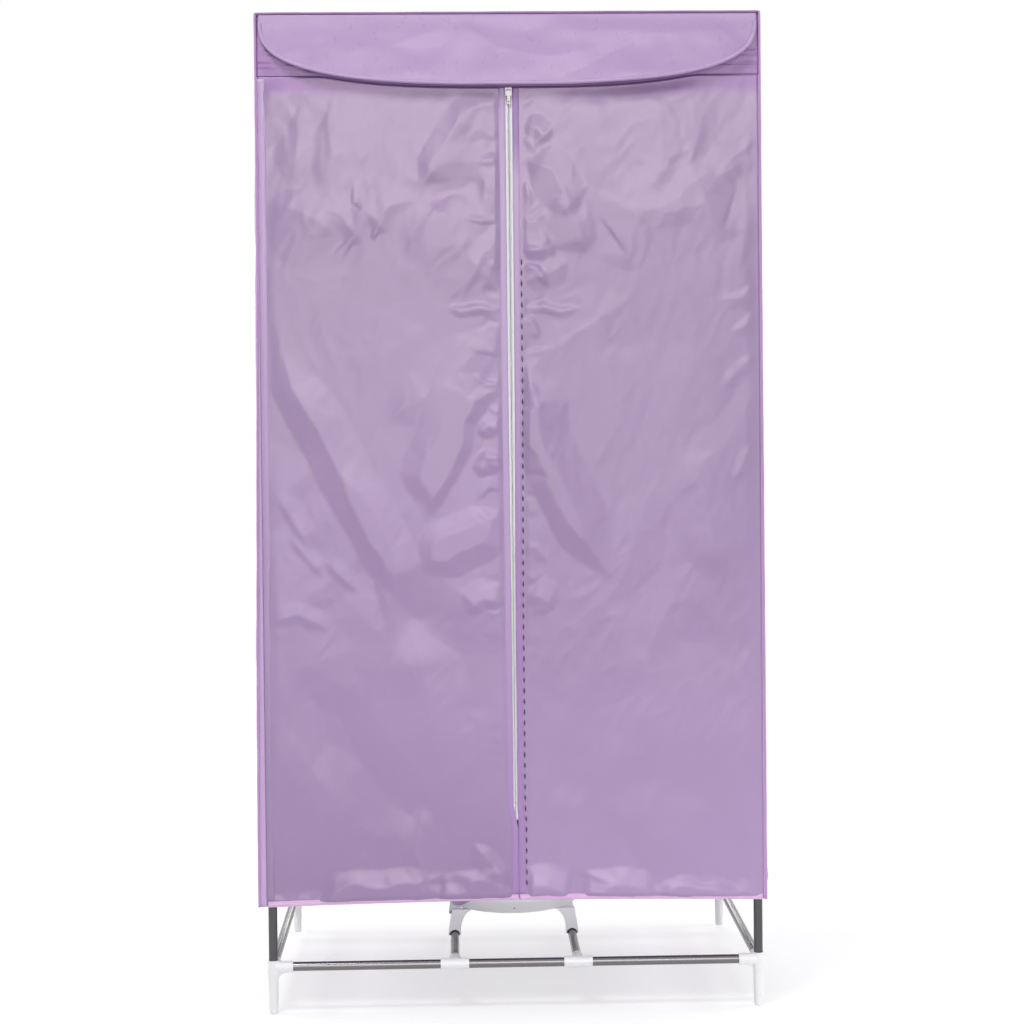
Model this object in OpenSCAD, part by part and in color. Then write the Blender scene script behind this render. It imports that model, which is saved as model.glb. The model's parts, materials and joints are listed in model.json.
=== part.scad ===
// Portable fabric-covered clothes dryer: a steel tube frame on four feet, a zipped
// cover and a fan heater that stands on two cross tubes. Millimetres, +Z up.
// The front faces -Y and the origin is on the floor, under the middle of the frame.

/* [Frame] */
// Height from the floor to the top of the cover's piping
total_h = 1400; // [1250:10:1550]
// Distance between the left and right post axes
span_x = 684; // [620:2:760]
// Distance between the front and rear post axes
span_y = 432; // [380:2:480]
// Height of the bottom rails' axis
rail_z = 66; // [58:1:80]
// Height of the middle rails' axis
middle_z = 790; // [650:5:900]
// Distance between the two tubes that carry the heater
carrier_span = 174; // [150:2:186]
// Outside diameter of the steel tubes
tube_d = 12.7; // [11:0.1:15]
// Wall of the steel tubes
tube_wall = 0.8; // [0.5:0.1:1.5]

/* [Connectors] */
// Wall of a connector's sleeve round its tube
sleeve_wall = 1.6; // [1.2:0.1:2.4]
// Radial clearance of a tube in its sleeve
tube_fit = 0.1; // [0.05:0.01:0.2]
// Clearance at a tube's end
end_fit = 0.3; // [0.1:0.1:1]
// Solid stop between two tube ends inside a connector
tube_stop = 2.4; // [1.6:0.2:4]
// Length of a connector's arm from the axis that it leaves
arm_l = 28; // [22:1:36]
// Length of a tee along its rail
tee_l = 40; // [34:1:52]
// Length of a middle connector along its post
joiner_l = 56; // [44:1:80]
// Thickness of the connectors' gusset webs
web_t = 5; // [3:0.5:7]
// Depth of the gusset webs
web_drop = 13; // [8:1:16]
// Width of a foot's leg at the floor
foot_d = 12.4; // [10:0.2:14]
// Edge rounding of a foot at the floor
foot_round = 2.6; // [1:0.2:4]
// Edge rounding on top of a top connector
crown_round = 3; // [2.4:0.2:4]

/* [Cover] */
// Thickness of the cover's cloth with its lining
cloth_t = 1.2; // [0.8:0.1:1.6]
// Space between the cover and the frame that it hangs on
cloth_gap = 0.3; // [0.2:0.1:0.6]
// Space between the doors and the front connectors
door_gap = 1.8; // [1.6:0.1:2.4]
// Distance of the header behind the plane of the doors
header_back = 1.5; // [1.4:0.1:1.8]
// Diameter of the piping in the cover's seams
piping_d = 3.6; // [3:0.2:4]
// Extra radius where the seams of the roof meet
knot = 0.15; // [0.1:0.05:0.3]
// Height of the cover's hem above the floor
hem_z = 153; // [145:1:160]
// Height of the hem's binding
hem_h = 8; // [6:0.5:12]
// Thickness of a binding on each side of the cloth
binding_t = 0.5; // [0.4:0.1:0.8]
// Clearance of the cloth in a binding
binding_fit = 0.1; // [0.05:0.05:0.2]
// Height of the cover's floor panel
floor_z = 160; // [156:1:170]
// Height of the header behind the flap
header_h = 87; // [80:1:95]
// Outward swell of the back panel
back_swell = 8; // [3:0.5:9]
// Outward swell of a side panel
side_swell = 3; // [1:0.5:4]
// Half width of a main fold in the doors
fold_w = 20; // [14:1:26]
// Height of a main fold in the doors
fold_h = 4; // [2:0.5:4.5]
// Border beside the seams in which the doors' folds die out
fold_border = 40; // [30:5:60]
// Distance between two waves of the back panel
back_wave = 116; // [90:2:150]
// Half height of the back panel's waves
back_wave_h = 1.5; // [0.5:0.5:2]
// Distance between two waves of a side panel
side_wave = 138; // [110:2:170]
// Half height of a side panel's waves
side_wave_h = 1; // [0.5:0.5:1.5]
// Border beside the seams in which the waves die out
wave_border = 60; // [40:5:80]

/* [Flap] */
// Distance of the flap's ends inside the cover's sides
flap_inset = 5; // [4:0.5:40]
// Depth of the flap at its middle
flap_drop = 98; // [92:1:110]
// Distance that the flap's lower edge stands off
flap_lean = 9; // [6:0.5:10]
// Height of the flap's end before its round corner
flap_end = 5; // [3:0.5:8]
// Height of the edge binding on the flap
flap_binding_h = 5; // [4:0.5:7]
// Distance between two waves of the flap
flap_wave = 150; // [120:10:200]
// Half height of the flap's waves
flap_wave_h = 0.8; // [0.4:0.1:1]

/* [Zip] */
// Half of the opening between the two doors' cloth edges
zip_half = 5; // [4.8:0.1:6]
// Half of the gap between the two zip chains
chain_gap = 0.9; // [0.8:0.05:1]
// Width of a zip tape
tape_w = 14; // [10:1:20]
// Thickness of a zip tape
tape_t = 0.8; // [0.6:0.1:0.9]
// Width of the coil on a tape's edge
coil_w = 1.7; // [1.4:0.1:2]
// Thickness of the coil
coil_t = 1.6; // [1.4:0.1:1.7]
// Height at which the zip ends below
zip_end = 270; // [240:5:320]
// Height of the zip slider
slider_h = 11; // [9:0.5:13]
// Thickness of the slider's front and back plates
slider_t = 1; // [0.8:0.1:1.1]
// Clearance of the slider round the coils
slider_fit = 0.3; // [0.2:0.05:0.4]
// Radius of the pin that carries the pull tab
pull_pin_r = 0.6; // [0.5:0.05:0.8]
// Running clearance of the pull tab on its pin
pin_fit = 0.05; // [0.02:0.01:0.08]
// Length of the pull tab below its pin
pull_l = 20; // [14:1:24]

/* [Heater] */
// Height of the heater's underside above the carrier tubes' axis
heater_lift = 38; // [34:1:44]
// Radius of the heater's underside
base_r = 100; // [96:1:106]
// Radius of the heater's rim
rim_r = 127; // [122:1:134]
// Height of the lower shell
base_h = 32; // [30:1:36]
// Height of the upper shell
dome_h = 99; // [90:1:110]
// Wall of the heater's shells
shell_t = 2.4; // [1.8:0.2:3]
// Radius of the hot air outlet
outlet_r = 84; // [76:1:90]
// Number of slots in the air intake
intake_slots = 30; // [20:2:36]
// Width of an intake slot
slot_w = 3.2; // [2:0.2:4]
// Distance of the intake slots from the heater's axis
slot_from = 28; // [22:1:32]
// Length of an intake slot
slot_l = 50; // [40:1:56]
// Number of rings in the outlet grille
grille_rings = 6; // [4:1:8]
// Width of a grille bar
grille_bar = 2.4; // [1.8:0.2:3]
// Height of the outlet grille
grille_h = 4; // [3:0.5:6]
// Distance between the front and rear heater brackets
bracket_span = 124; // [100:2:140]
// Width of a bracket where it meets the heater
bracket_top = 34; // [28:1:38]
// Width of a bracket at its saddle
bracket_foot = 18.2; // [17.8:0.2:22]
// Thickness of a bracket
bracket_t = 9; // [6:0.5:12]
// Thickness of the rubber pad in a saddle
pad_t = 1.2; // [0.8:0.1:1.6]

/* [Fan] */
// Radius over the fan's blades
fan_r = 72; // [60:1:76]
// Radius of the fan's hub
hub_r = 17; // [14:0.5:20]
// Number of fan blades
fan_blades = 7; // [5:1:9]
// Pitch of the blades in degrees
blade_pitch = 28; // [20:1:32]
// Thickness of a blade
blade_t = 1.8; // [1.2:0.1:2.4]
// Height of the fan's hub
hub_h = 14; // [12:0.5:15]
// Diameter of the motor's shaft
shaft_d = 5; // [4:0.5:6]
// Running clearance of the shaft in the motor
shaft_fit = 0.05; // [0.02:0.01:0.08]
// Diameter of the motor
motor_d = 38; // [32:1:44]
// Height of the motor
motor_h = 30; // [24:1:34]

/* [Controls] */
// Width of the control box
box_w = 96; // [86:1:110]
// Height of the control box
box_h = 26; // [25:0.5:28]
// Distance that the control box stands out behind the heater's underside
box_out = 25; // [22:1:26]
// Depth of the control box from its rear face forwards
box_deep = 63; // [58:1:66]
// Radius of the timer knob
knob_r = 9; // [8:0.5:10]
// Length of the timer knob
knob_l = 11; // [9:0.5:14]
// Sideways place of the timer knob
knob_x = -24; // [-28:1:-20]
// Sideways place of the power button
button_x = 12; // [8:1:16]
// Width and height of the power button
button_w = 11; // [9:0.5:12]
// Travel of the power button
button_travel = 2.5; // [1.5:0.5:3]
// Clearance round the power button
button_fit = 0.2; // [0.1:0.05:0.3]
// Sideways place of the cord gland
gland_x = 38; // [34:1:41]

/* [Hidden] */

fine = 48;
cut = 1;
steel = "#5b5b60";
white = "#ebecf0";
lilac = "#b29ec6";
trim = "#a56eb4";

tube_r = tube_d / 2;
bore_r = tube_r + tube_fit;
sleeve_r = bore_r + sleeve_wall;
bore_from = bore_r + tube_stop;
corner_end = bore_from + end_fit;
tee_end = tube_stop / 2 + end_fit;
post_x = span_x / 2;
post_y = span_y / 2;
carrier_x = carrier_span / 2;

piping_r = piping_d / 2;
seam = piping_r + knot + cloth_gap;
side_x = post_x + sleeve_r + cloth_gap + cloth_t / 2;
back_y = post_y + sleeve_r + cloth_gap + cloth_t / 2;
front_y = -(post_y + sleeve_r + door_gap + cloth_t / 2);
roof_z = total_h - piping_r - knot;
top_z = roof_z - cloth_t / 2 - cloth_gap - sleeve_r;
panel_foot = hem_z + binding_t + binding_fit;
hem_top = hem_z + hem_h + cloth_t;
hem_t = cloth_t + 2 * (binding_fit + binding_t);
door_side = side_x - seam;
header_top = roof_z - seam;
header_foot = roof_z - header_h;
flap_half = side_x - flap_inset;

heater_z = rail_z + heater_lift;
dome_z = heater_z + base_h;
outlet_z = dome_z + dome_h;
box_y = base_r + box_out;

// ---------------------------------------------------------------- Tube frame

module along_x() rotate([0, 90, 0]) children();
module along_y() rotate([-90, 0, 0]) children();

// Open steel tube along +Z
module tube(length) {
    difference() {
        cylinder(r = tube_r, h = length, $fn = fine);
        translate([0, 0, -cut]) cylinder(r = tube_r - tube_wall, h = length + 2 * cut, $fn = fine);
    }
}
module tube_x(from, to, y, z) translate([from, y, z]) along_x() tube(to - from);
module tube_y(from, to, x, z) translate([x, from, z]) along_y() tube(to - from);

// Sleeve and blind bore of a connector's arm, both along +Z
module sleeve(length) cylinder(r = sleeve_r, h = length, $fn = fine);
module bore(from, length) translate([0, 0, from]) cylinder(r = bore_r, h = length - from + cut, $fn = fine);

// Outline of a gusset web in the corner of two arms: it reaches w along one, h along the other
function concave(w, h, root) = concat([[0, 0]],
    [for (a = [0 : 15 : 90]) [root + (w - root) * (1 - sin(a)), h * (1 - cos(a))]],
    [[0, h]]);

// The gusset that stands under an arm along +X, in the plane Y = 0
module arm_gusset(w, h, root) {
    translate([0, web_t / 2, -(sleeve_r - sleeve_wall)])
        mirror([0, 0, 1]) rotate([90, 0, 0]) linear_extrude(web_t) polygon(concave(w, h, root));
}

// Runs its children at the four corners, mirrored so that +X and +Y point inwards
module at_corners(z, ys = [-1, 1])
    for (sx = [-1, 1], sy = ys)
        translate([sx * post_x, sy * post_y, z]) mirror([sx > 0 ? 1 : 0, 0, 0])
            mirror([0, sy > 0 ? 1 : 0, 0]) children();

module corner_arms() {
    along_x() sleeve(arm_l);
    along_y() sleeve(arm_l);
}
module corner_bores() {
    along_x() bore(bore_from, arm_l);
    along_y() bore(bore_from, arm_l);
}

// Corner foot: two arms, the post's socket, gussets and a tapered leg with a rounded flat end
module foot() {
    leg_r = foot_d / 2;
    difference() {
        union() {
            corner_arms();
            translate([0, 0, -sleeve_r]) sleeve(2 * sleeve_r + sleeve_wall);
            rotate_extrude($fn = fine) polygon(concat([[0, -rail_z]],
                [for (a = [0 : 15 : 90]) [leg_r - foot_round * (1 - sin(a)),
                    -rail_z + foot_round * (1 - cos(a))]],
                [[sleeve_r - cut, -sleeve_r - web_drop], [sleeve_r, -sleeve_r], [0, -sleeve_r]]));
            arm_gusset(arm_l - cut, web_drop, leg_r);
            mirror([1, -1, 0]) arm_gusset(arm_l - cut, web_drop, leg_r);
        }
        corner_bores();
        bore(-tube_r, sleeve_r + sleeve_wall);
    }
}

// Middle connector: joins two lengths of post and carries two rails
module joiner() {
    difference() {
        union() {
            corner_arms();
            translate([0, 0, -joiner_l / 2]) sleeve(joiner_l);
            arm_gusset(arm_l - cut, web_drop, sleeve_r - cut);
            mirror([1, -1, 0]) arm_gusset(arm_l - cut, web_drop, sleeve_r - cut);
        }
        corner_bores();
        bore(tube_stop / 2, joiner_l / 2);
        mirror([0, 0, 1]) bore(tube_stop / 2, joiner_l / 2);
    }
}

// Top connector: closed above, with the post's socket below
module top_corner() {
    difference() {
        union() {
            corner_arms();
            rotate_extrude($fn = fine) polygon(concat([[0, -arm_l], [sleeve_r, -arm_l]],
                [for (a = [0 : 15 : 90]) [sleeve_r - crown_round * (1 - cos(a)),
                    sleeve_r - crown_round * (1 - sin(a))]], [[0, sleeve_r]]));
            arm_gusset(arm_l - cut, web_drop, sleeve_r - cut);
            mirror([1, -1, 0]) arm_gusset(arm_l - cut, web_drop, sleeve_r - cut);
        }
        corner_bores();
        mirror([0, 0, 1]) bore(-tube_r, arm_l);
    }
}

// Tee: its run lies along X and its branch along +Y
module tee() {
    difference() {
        union() {
            translate([-tee_l / 2, 0, 0]) along_x() sleeve(tee_l);
            along_y() sleeve(arm_l);
            for (side = [0, 1])
                mirror([side, 0, 0]) translate([0, sleeve_r - sleeve_wall, -web_t / 2])
                    linear_extrude(web_t)
                        polygon(concave(tee_l / 2 - cut, web_drop, sleeve_r - cut));
        }
        along_x() bore(tube_stop / 2, tee_l / 2);
        mirror([1, 0, 0]) along_x() bore(tube_stop / 2, tee_l / 2);
        along_y() bore(bore_from, arm_l);
    }
}

module front_feet() color(white) at_corners(rail_z, [-1]) foot();
module rear_feet() color(white) at_corners(rail_z, [1]) foot();
module middle_connectors() color(white) at_corners(middle_z) joiner();
module top_connectors() color(white) at_corners(top_z) top_corner();

// Three tubes in a row along X, parted by the two tees
module split_rail(y) color(steel) {
    for (s = [-1, 1])
        tube_x(s > 0 ? carrier_x + tee_end : -post_x + corner_end,
            s > 0 ? post_x - corner_end : -carrier_x - tee_end, y, rail_z);
    tube_x(-carrier_x + tee_end, carrier_x - tee_end, y, rail_z);
}
module bottom_front_rail() split_rail(-post_y);
module bottom_rear_rail() split_rail(post_y);

module inner_tubes_y(x, z) color(steel)
    for (s = [-1, 1]) tube_y(-post_y + corner_end, post_y - corner_end, s * x, z);
module bottom_side_rails() inner_tubes_y(post_x, rail_z);
module heater_carriers() inner_tubes_y(carrier_x, rail_z);

module bottom_tees() color(white)
    for (sx = [-1, 1], sy = [-1, 1])
        translate([sx * carrier_x, sy * post_y, rail_z]) mirror([0, sy > 0 ? 1 : 0, 0]) tee();

module posts(from, to) color(steel)
    for (sx = [-1, 1], sy = [-1, 1])
        translate([sx * post_x, sy * post_y, from]) tube(to - from);
module lower_posts() posts(rail_z - tube_r + end_fit, middle_z - tee_end);
module upper_posts() posts(middle_z + tee_end, top_z + tube_r - end_fit);

module cross_rails(z) color(steel)
    for (s = [-1, 1]) tube_x(-post_x + corner_end, post_x - corner_end, s * post_y, z);
module middle_cross_rails() cross_rails(middle_z);
module top_cross_rails() cross_rails(top_z);

// Side rails in two lengths, parted by the tee that carries the hanging rod
module side_rails(z) color(steel)
    for (s = [-1, 1]) {
        tube_y(-post_y + corner_end, -tee_end, s * post_x, z);
        tube_y(tee_end, post_y - corner_end, s * post_x, z);
    }
module middle_side_rails() side_rails(middle_z);
module top_side_rails() side_rails(top_z);

module side_tees() color(white)
    for (z = [middle_z, top_z], s = [-1, 1])
        translate([s * post_x, 0, z]) rotate([0, 0, s * 90]) tee();
module hanging_rods() color(steel)
    for (z = [middle_z, top_z]) tube_x(-post_x + corner_end, post_x - corner_end, 0, z);

// ---------------------------------------------------------------- Cloth

// Cell counts of the cloth grids: across and up
door_grid = [20, 23];
back_grid = [14, 18];
side_grid = [9, 18];
flap_grid = [38, 4];

// Heights over which the waves of the back and of a side drift by one wave
back_drift = 3000;
side_drift = 2400;

function smooth(t) = let (k = min(1, max(0, t))) k * k * (3 - 2 * k);

// Place of a fold's end, given as shares of the cover's half width and of its height
function fold_end(share) = [side_x * share[0], hem_z + (roof_z - hem_z) * share[1]];
// Lift of a fold [end, end, share of fold_w, share of fold_h] at a place p of the cloth
function fold_lift(p, f) =
    let (from = fold_end(f[0]), run = fold_end(f[1]) - from,
         t = min(1, max(0, (p - from) * run / (run * run))),
         off = p - from - t * run, width = fold_w * f[2])
    fold_h * f[3] * exp(-(off * off) / (width * width));
// Height of the cloth at v from 0 to 1: the first of the rows stays inside the hem's binding
function row_z(v, rows, top) = let (k = v * rows)
    k <= 1 ? panel_foot + (hem_top - panel_foot) * k : hem_top + (top - hem_top) * (k - 1) / (rows - 1);
function lift(p, folds, i = 0) = i == len(folds) ? 0 : fold_lift(p, folds[i]) + lift(p, folds, i + 1);

// Closed sheet of cloth: place(u, v) gives its middle surface for u and v from 0 to 1
module cloth(grid, place, side) {
    nu = grid[0];
    nv = grid[1];
    one = (nu + 1) * (nv + 1);
    at = function(i, j) i * (nv + 1) + j;
    skin = [for (i = [0 : nu - 1], j = [0 : nv - 1])
        each [[at(i, j), at(i + 1, j), at(i + 1, j + 1)], [at(i, j), at(i + 1, j + 1), at(i, j + 1)]]];
    border = concat([for (i = [0 : nu - 1]) at(i, 0)], [for (j = [0 : nv - 1]) at(nu, j)],
        [for (i = [nu : -1 : 1]) at(i, nv)], [for (j = [nv : -1 : 1]) at(0, j)]);
    n = len(border);
    rim = [for (k = [0 : n - 1]) let (a = border[k], b = border[(k + 1) % n])
        each [[a, a + one, b + one], [a, b + one, b]]];
    points = [for (s = [-1, 1], i = [0 : nu], j = [0 : nv]) place(i / nu, j / nv) + s * side];
    polyhedron(points, concat(skin, [for (t = skin) [t[0] + one, t[2] + one, t[1] + one]], rim));
}

// Height of the doors' top edge: straight at the sides, and under the flap in the middle
door_clear = 2;
flap_hang = 2.2;
function flap_depth(x) =
    let (k = min(1, abs(x) / flap_half)) flap_end + (flap_drop - flap_end) * pow(1 - pow(k, 2.8), 1 / 3);
function door_top(x) =
    min(header_foot, roof_z - flap_hang - flap_depth(x) - binding_t - binding_fit - door_clear) - cloth_gap;

// The folds that show in each door, from corner to corner of the crease
left_folds = [
    [[-0.151, 0.904], [-0.336, 0.806], 0.8, 1],
    [[-0.085, 0.801], [-0.271, 0.765], 0.9, 0.63],
    [[-0.057, 0.648], [-0.296, 0.561], 1.2, 0.85],
    [[-0.063, 0.443], [-0.342, 0.388], 0.9, 0.9],
    [[-0.946, 0.664], [-0.843, 0.574], 0.75, 0.75],
    [[-0.889, 0.512], [-0.650, 0.430], 0.9, 0.75],
    [[-0.823, 0.245], [-0.345, 0.080], 0.75, 0.65],
    [[-0.775, 0.030], [-0.348, 0.035], 0.6, 0.75]];
right_folds = [
    [[0.080, 0.826], [0.242, 0.775], 0.8, 0.75],
    [[0.125, 0.785], [0.296, 0.716], 0.8, 0.75],
    [[0.080, 0.619], [0.199, 0.533], 1, 1],
    [[0.199, 0.533], [0.319, 0.452], 1.1, 1.05],
    [[0.319, 0.452], [0.462, 0.372], 1.2, 0.8],
    [[0.940, 0.688], [0.812, 0.668], 0.7, 0.55],
    [[0.279, 0.027], [0.524, 0.031], 0.6, 0.75],
    [[0.598, 0.031], [0.826, 0.027], 0.6, 0.65]];

// Door cloth from its hinge seam to the zip: side is -1 for the left door and 1 for the right
module door_panel(side, folds) {
    place = function(u, v)
        let (x = side * (door_side + (zip_half - door_side) * u),
             z = row_z(v, door_grid[1], door_top(x)),
             calm = smooth((z - hem_top) / fold_border) * smooth((door_top(x) - z) / fold_border)
                 * smooth((door_side - abs(x)) / (0.75 * fold_border))
                 * smooth((abs(x) - zip_half) / (0.55 * fold_border)))
        [x, front_y - lift([x, z], folds) * calm, z];
    cloth(door_grid, place, [0, side * cloth_t / 2, 0]);
}
module door_left_panel() color(lilac) door_panel(-1, left_folds);
module door_right_panel() color(lilac) door_panel(1, right_folds);

// Folded tape that wraps a lower edge: it runs along +X from 0, its foot at Z = 0
module hem(length) {
    translate([0, -hem_t / 2, 0]) difference() {
        cube([length, hem_t, hem_h]);
        translate([-cut, binding_t, binding_t])
            cube([length + 2 * cut, hem_t - 2 * binding_t, hem_h]);
    }
}
hem_side = hem_t + piping_r + cloth_gap;
module door_hem(side) color(trim) translate([side > 0 ? zip_half : -side_x + hem_side, front_y, hem_z])
    hem(side_x - hem_side - zip_half);
module door_left_hem() door_hem(-1);
module door_right_hem() door_hem(1);
module cover_hem() color(trim) {
    translate([-side_x + hem_side, back_y, hem_z]) hem(2 * (side_x - hem_side));
    for (s = [-1, 1])
        translate([s * side_x, front_y + hem_side, hem_z]) rotate([0, 0, 90])
            hem(back_y - front_y - 2 * hem_side);
}

module cover_back() color(lilac) {
    place = function(u, v)
        let (x = door_side * (2 * u - 1), z = row_z(v, back_grid[1], header_top),
             calm = smooth((z - hem_top) / wave_border) * smooth((header_top - z) / wave_border)
                 * smooth((door_side - abs(x)) / wave_border))
        [x, back_y + calm * (back_swell - back_wave_h * (1 - cos(360 * (x / back_wave + z / back_drift)))), z];
    cloth(back_grid, place, [0, -cloth_t / 2, 0]);
}

// Side cloth, slack between the posts, with a few long soft waves
module side_panel(side) {
    depth = back_y - front_y - 2 * seam;
    place = function(u, v)
        let (y = front_y + seam + depth * u, z = row_z(v, side_grid[1], header_top),
             calm = smooth((z - hem_top) / wave_border) * smooth((header_top - z) / wave_border)
                 * smooth(u * depth / wave_border) * smooth((1 - u) * depth / wave_border),
             wave = 1 - cos(360 * (y / side_wave + side * z / side_drift)))
        [side * (side_x + calm * (side_swell - side_wave_h * wave)), y, z];
    cloth(side_grid, place, [-side * cloth_t / 2, 0, 0]);
}
module cover_left_side() color(lilac) side_panel(-1);
module cover_right_side() color(lilac) side_panel(1);

module cover_roof() color(lilac)
    translate([-door_side, front_y + seam, roof_z - cloth_t / 2])
        cube([2 * door_side, back_y - front_y - 2 * seam, cloth_t]);

// Strip above the doors, behind the flap; its lower edge follows their top edges
module cover_header() color(lilac) {
    steps = 24;
    lower = [for (i = [-steps : steps]) let (x = door_side * i / steps) [x, door_top(x) + cloth_gap]];
    translate([0, front_y + header_back + cloth_t / 2, 0]) rotate([90, 0, 0])
        linear_extrude(cloth_t)
            polygon(concat(lower, [[door_side, header_top], [-door_side, header_top]]));
}

// Floor of the cover: open round the heater, cut out at the posts
cuff_in = rim_r + cloth_gap;
cuff_out = cuff_in + cloth_t;
module cover_floor() color(lilac) {
    half_w = side_x - hem_t / 2 - cloth_gap;
    rear = back_y - hem_t / 2 - cloth_gap;
    front = post_y + sleeve_r;
    translate([0, 0, floor_z]) linear_extrude(cloth_t) difference() {
        translate([-half_w, -front]) square([2 * half_w, front + rear]);
        circle(r = cuff_out + cloth_gap, $fn = 2 * fine);
        for (sx = [-1, 1], sy = [-1, 1])
            translate([sx * post_x, sy * post_y]) circle(r = tube_r + cloth_gap, $fn = fine);
    }
}

// Elastic cuff that closes the floor round the heater's rim
cuff_drop = 36;
cuff_flange = 12;
module heater_cuff() color(lilac)
    rotate_extrude($fn = 2 * fine) polygon([
        [cuff_in, floor_z - cuff_drop], [cuff_out, floor_z - cuff_drop],
        [cuff_out, floor_z + cloth_t], [cuff_out + cuff_flange, floor_z + cloth_t],
        [cuff_out + cuff_flange, floor_z + 2 * cloth_t], [cuff_in, floor_z + 2 * cloth_t]]);

module roof_piping() color(trim) translate([0, 0, roof_z]) {
    for (y = [front_y, back_y])
        translate([-side_x, y, 0]) along_x() cylinder(r = piping_r, h = 2 * side_x, $fn = fine);
    for (x = [-side_x, side_x]) {
        translate([x, front_y, 0]) along_y() cylinder(r = piping_r, h = back_y - front_y, $fn = fine);
        for (y = [front_y, back_y])
            translate([x, y, 0]) sphere(r = piping_r + knot, $fn = fine);
    }
}
module corner_piping() color(trim)
    for (x = [-side_x, side_x], y = [front_y, back_y])
        translate([x, y, hem_z]) cylinder(r = piping_r, h = header_top - hem_z, $fn = fine);

// ---------------------------------------------------------------- Flap

flap_off = 0.9;
// The flap's outline at a fraction t of its width: across, and down from its seam
function flap_edge(t) = let (x = flap_half * sin(90 * (2 * t - 1))) [x, flap_hang + flap_depth(x)];
// Direction square to the outline, away from the flap
function flap_away(t) = let (run = flap_edge(min(1, t + 0.002)) - flap_edge(max(0, t - 0.002)))
    [-run[1], run[0]] / norm(run);
// How far the flap stands in front of the door plane at a place [x, down]
function flap_out(p) =
    flap_off + flap_lean * smooth(p[1] / (flap_drop * 1.1))
    + flap_wave_h * (1 + sin(360 * p[0] / flap_wave)) * smooth(p[1] / flap_drop);
function flap_place(p) = [p[0], front_y - flap_out(p), roof_z - p[1]];

// The last row of cells lies in the binding, and the rows above it hang straight down
module front_flap() color(lilac) {
    last = 1 - 1 / flap_grid[1];
    place = function(u, v)
        let (e = flap_edge(u), inner = e - flap_away(u) * (flap_binding_h + cloth_t))
        flap_place(v > last ? e : [inner[0], flap_hang + (inner[1] - flap_hang) * v / last]);
    cloth(flap_grid, place, [0, cloth_t / 2, 0]);
}

// Folded tape round the flap's free edge: a U section carried along the outline
module flap_binding() color(trim) {
    bare_cells = 2;
    steps = flap_grid[0] - 2 * bare_cells;
    wall = cloth_t / 2 + binding_fit;
    section = [[-flap_binding_h, wall], [binding_fit, wall], [binding_fit, -wall],
        [-flap_binding_h, -wall], [-flap_binding_h, -wall - binding_t],
        [binding_fit + binding_t, -wall - binding_t], [binding_fit + binding_t, wall + binding_t],
        [-flap_binding_h, wall + binding_t]];
    count = len(section);
    ring = function(t) [for (s = section) flap_place(flap_edge(t) + flap_away(t) * s[0]) + [0, s[1], 0]];
    points = [for (i = [0 : steps]) each ring((bare_cells + i) / flap_grid[0])];
    walls = [for (i = [0 : steps - 1], k = [0 : count - 1])
        let (a = i * count + k, b = i * count + (k + 1) % count, c = a + count, d = b + count)
        each k < 2 ? [[a, c, d], [a, d, b]] : [[a, c, b], [c, d, b]]];
    caps = [[0, 1, 6], [0, 6, 7], [1, 2, 5], [1, 5, 6], [2, 3, 4], [2, 4, 5]];
    last = steps * count;
    polyhedron(points, concat(walls, caps, [for (c = caps) [c[0] + last, c[2] + last, c[1] + last]]));
}

// ---------------------------------------------------------------- Zip

tape_y = front_y + cloth_t / 2 + binding_fit + tape_t / 2;
zip_top = door_top(0);
slider_top = zip_top - cut;
slider_foot = slider_top - slider_h;
slider_low = zip_end + 4;

// Woven tape with a moulded coil along its inner edge, between two heights
module zip_chain(from, to) {
    translate([chain_gap, tape_y - tape_t / 2, from]) cube([tape_w - chain_gap, tape_t, to - from]);
    translate([chain_gap, tape_y - coil_t / 2, from]) cube([coil_w, coil_t, to - from]);
}
module zip_right() color("white") zip_chain(zip_end, zip_top);
module zip_left() color("white")
    mirror([1, 0, 0]) zip_chain(slider_low + slider_h + cut, slider_foot - cut);

// Slider: a plate before and behind the coils, the wedge between them, and ears for the tab's pin
slider_half = zip_half - slider_fit * 2;
ear_w = 1;
ear_x = 2.6;
pin_y = tape_y - coil_t / 2 - slider_fit - slider_t - 2 * pull_pin_r - slider_fit;
pin_z = slider_top - 3;
module zip_slider() color("silver") {
    front = tape_y - coil_t / 2 - slider_fit;
    rear = tape_y + coil_t / 2 + slider_fit;
    translate([-slider_half, front - slider_t, slider_foot]) cube([2 * slider_half, slider_t, slider_h]);
    translate([-slider_half, rear, slider_foot]) cube([2 * slider_half, slider_t, slider_h]);
    translate([-chain_gap + slider_fit, front - slider_t / 2, slider_top - slider_h / 2])
        cube([2 * (chain_gap - slider_fit), rear - front + slider_t, slider_h / 2]);
    for (s = [-1, 1])
        translate([s * ear_x - ear_w / 2, pin_y, pin_z]) {
            along_x() cylinder(r = 2 * pull_pin_r, h = ear_w, $fn = fine);
            translate([0, 0, -2 * pull_pin_r]) cube([ear_w, front - slider_t / 2 - pin_y, 4 * pull_pin_r]);
        }
    translate([-ear_x, pin_y, pin_z]) along_x() cylinder(r = pull_pin_r, h = 2 * ear_x, $fn = fine);
}

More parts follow.
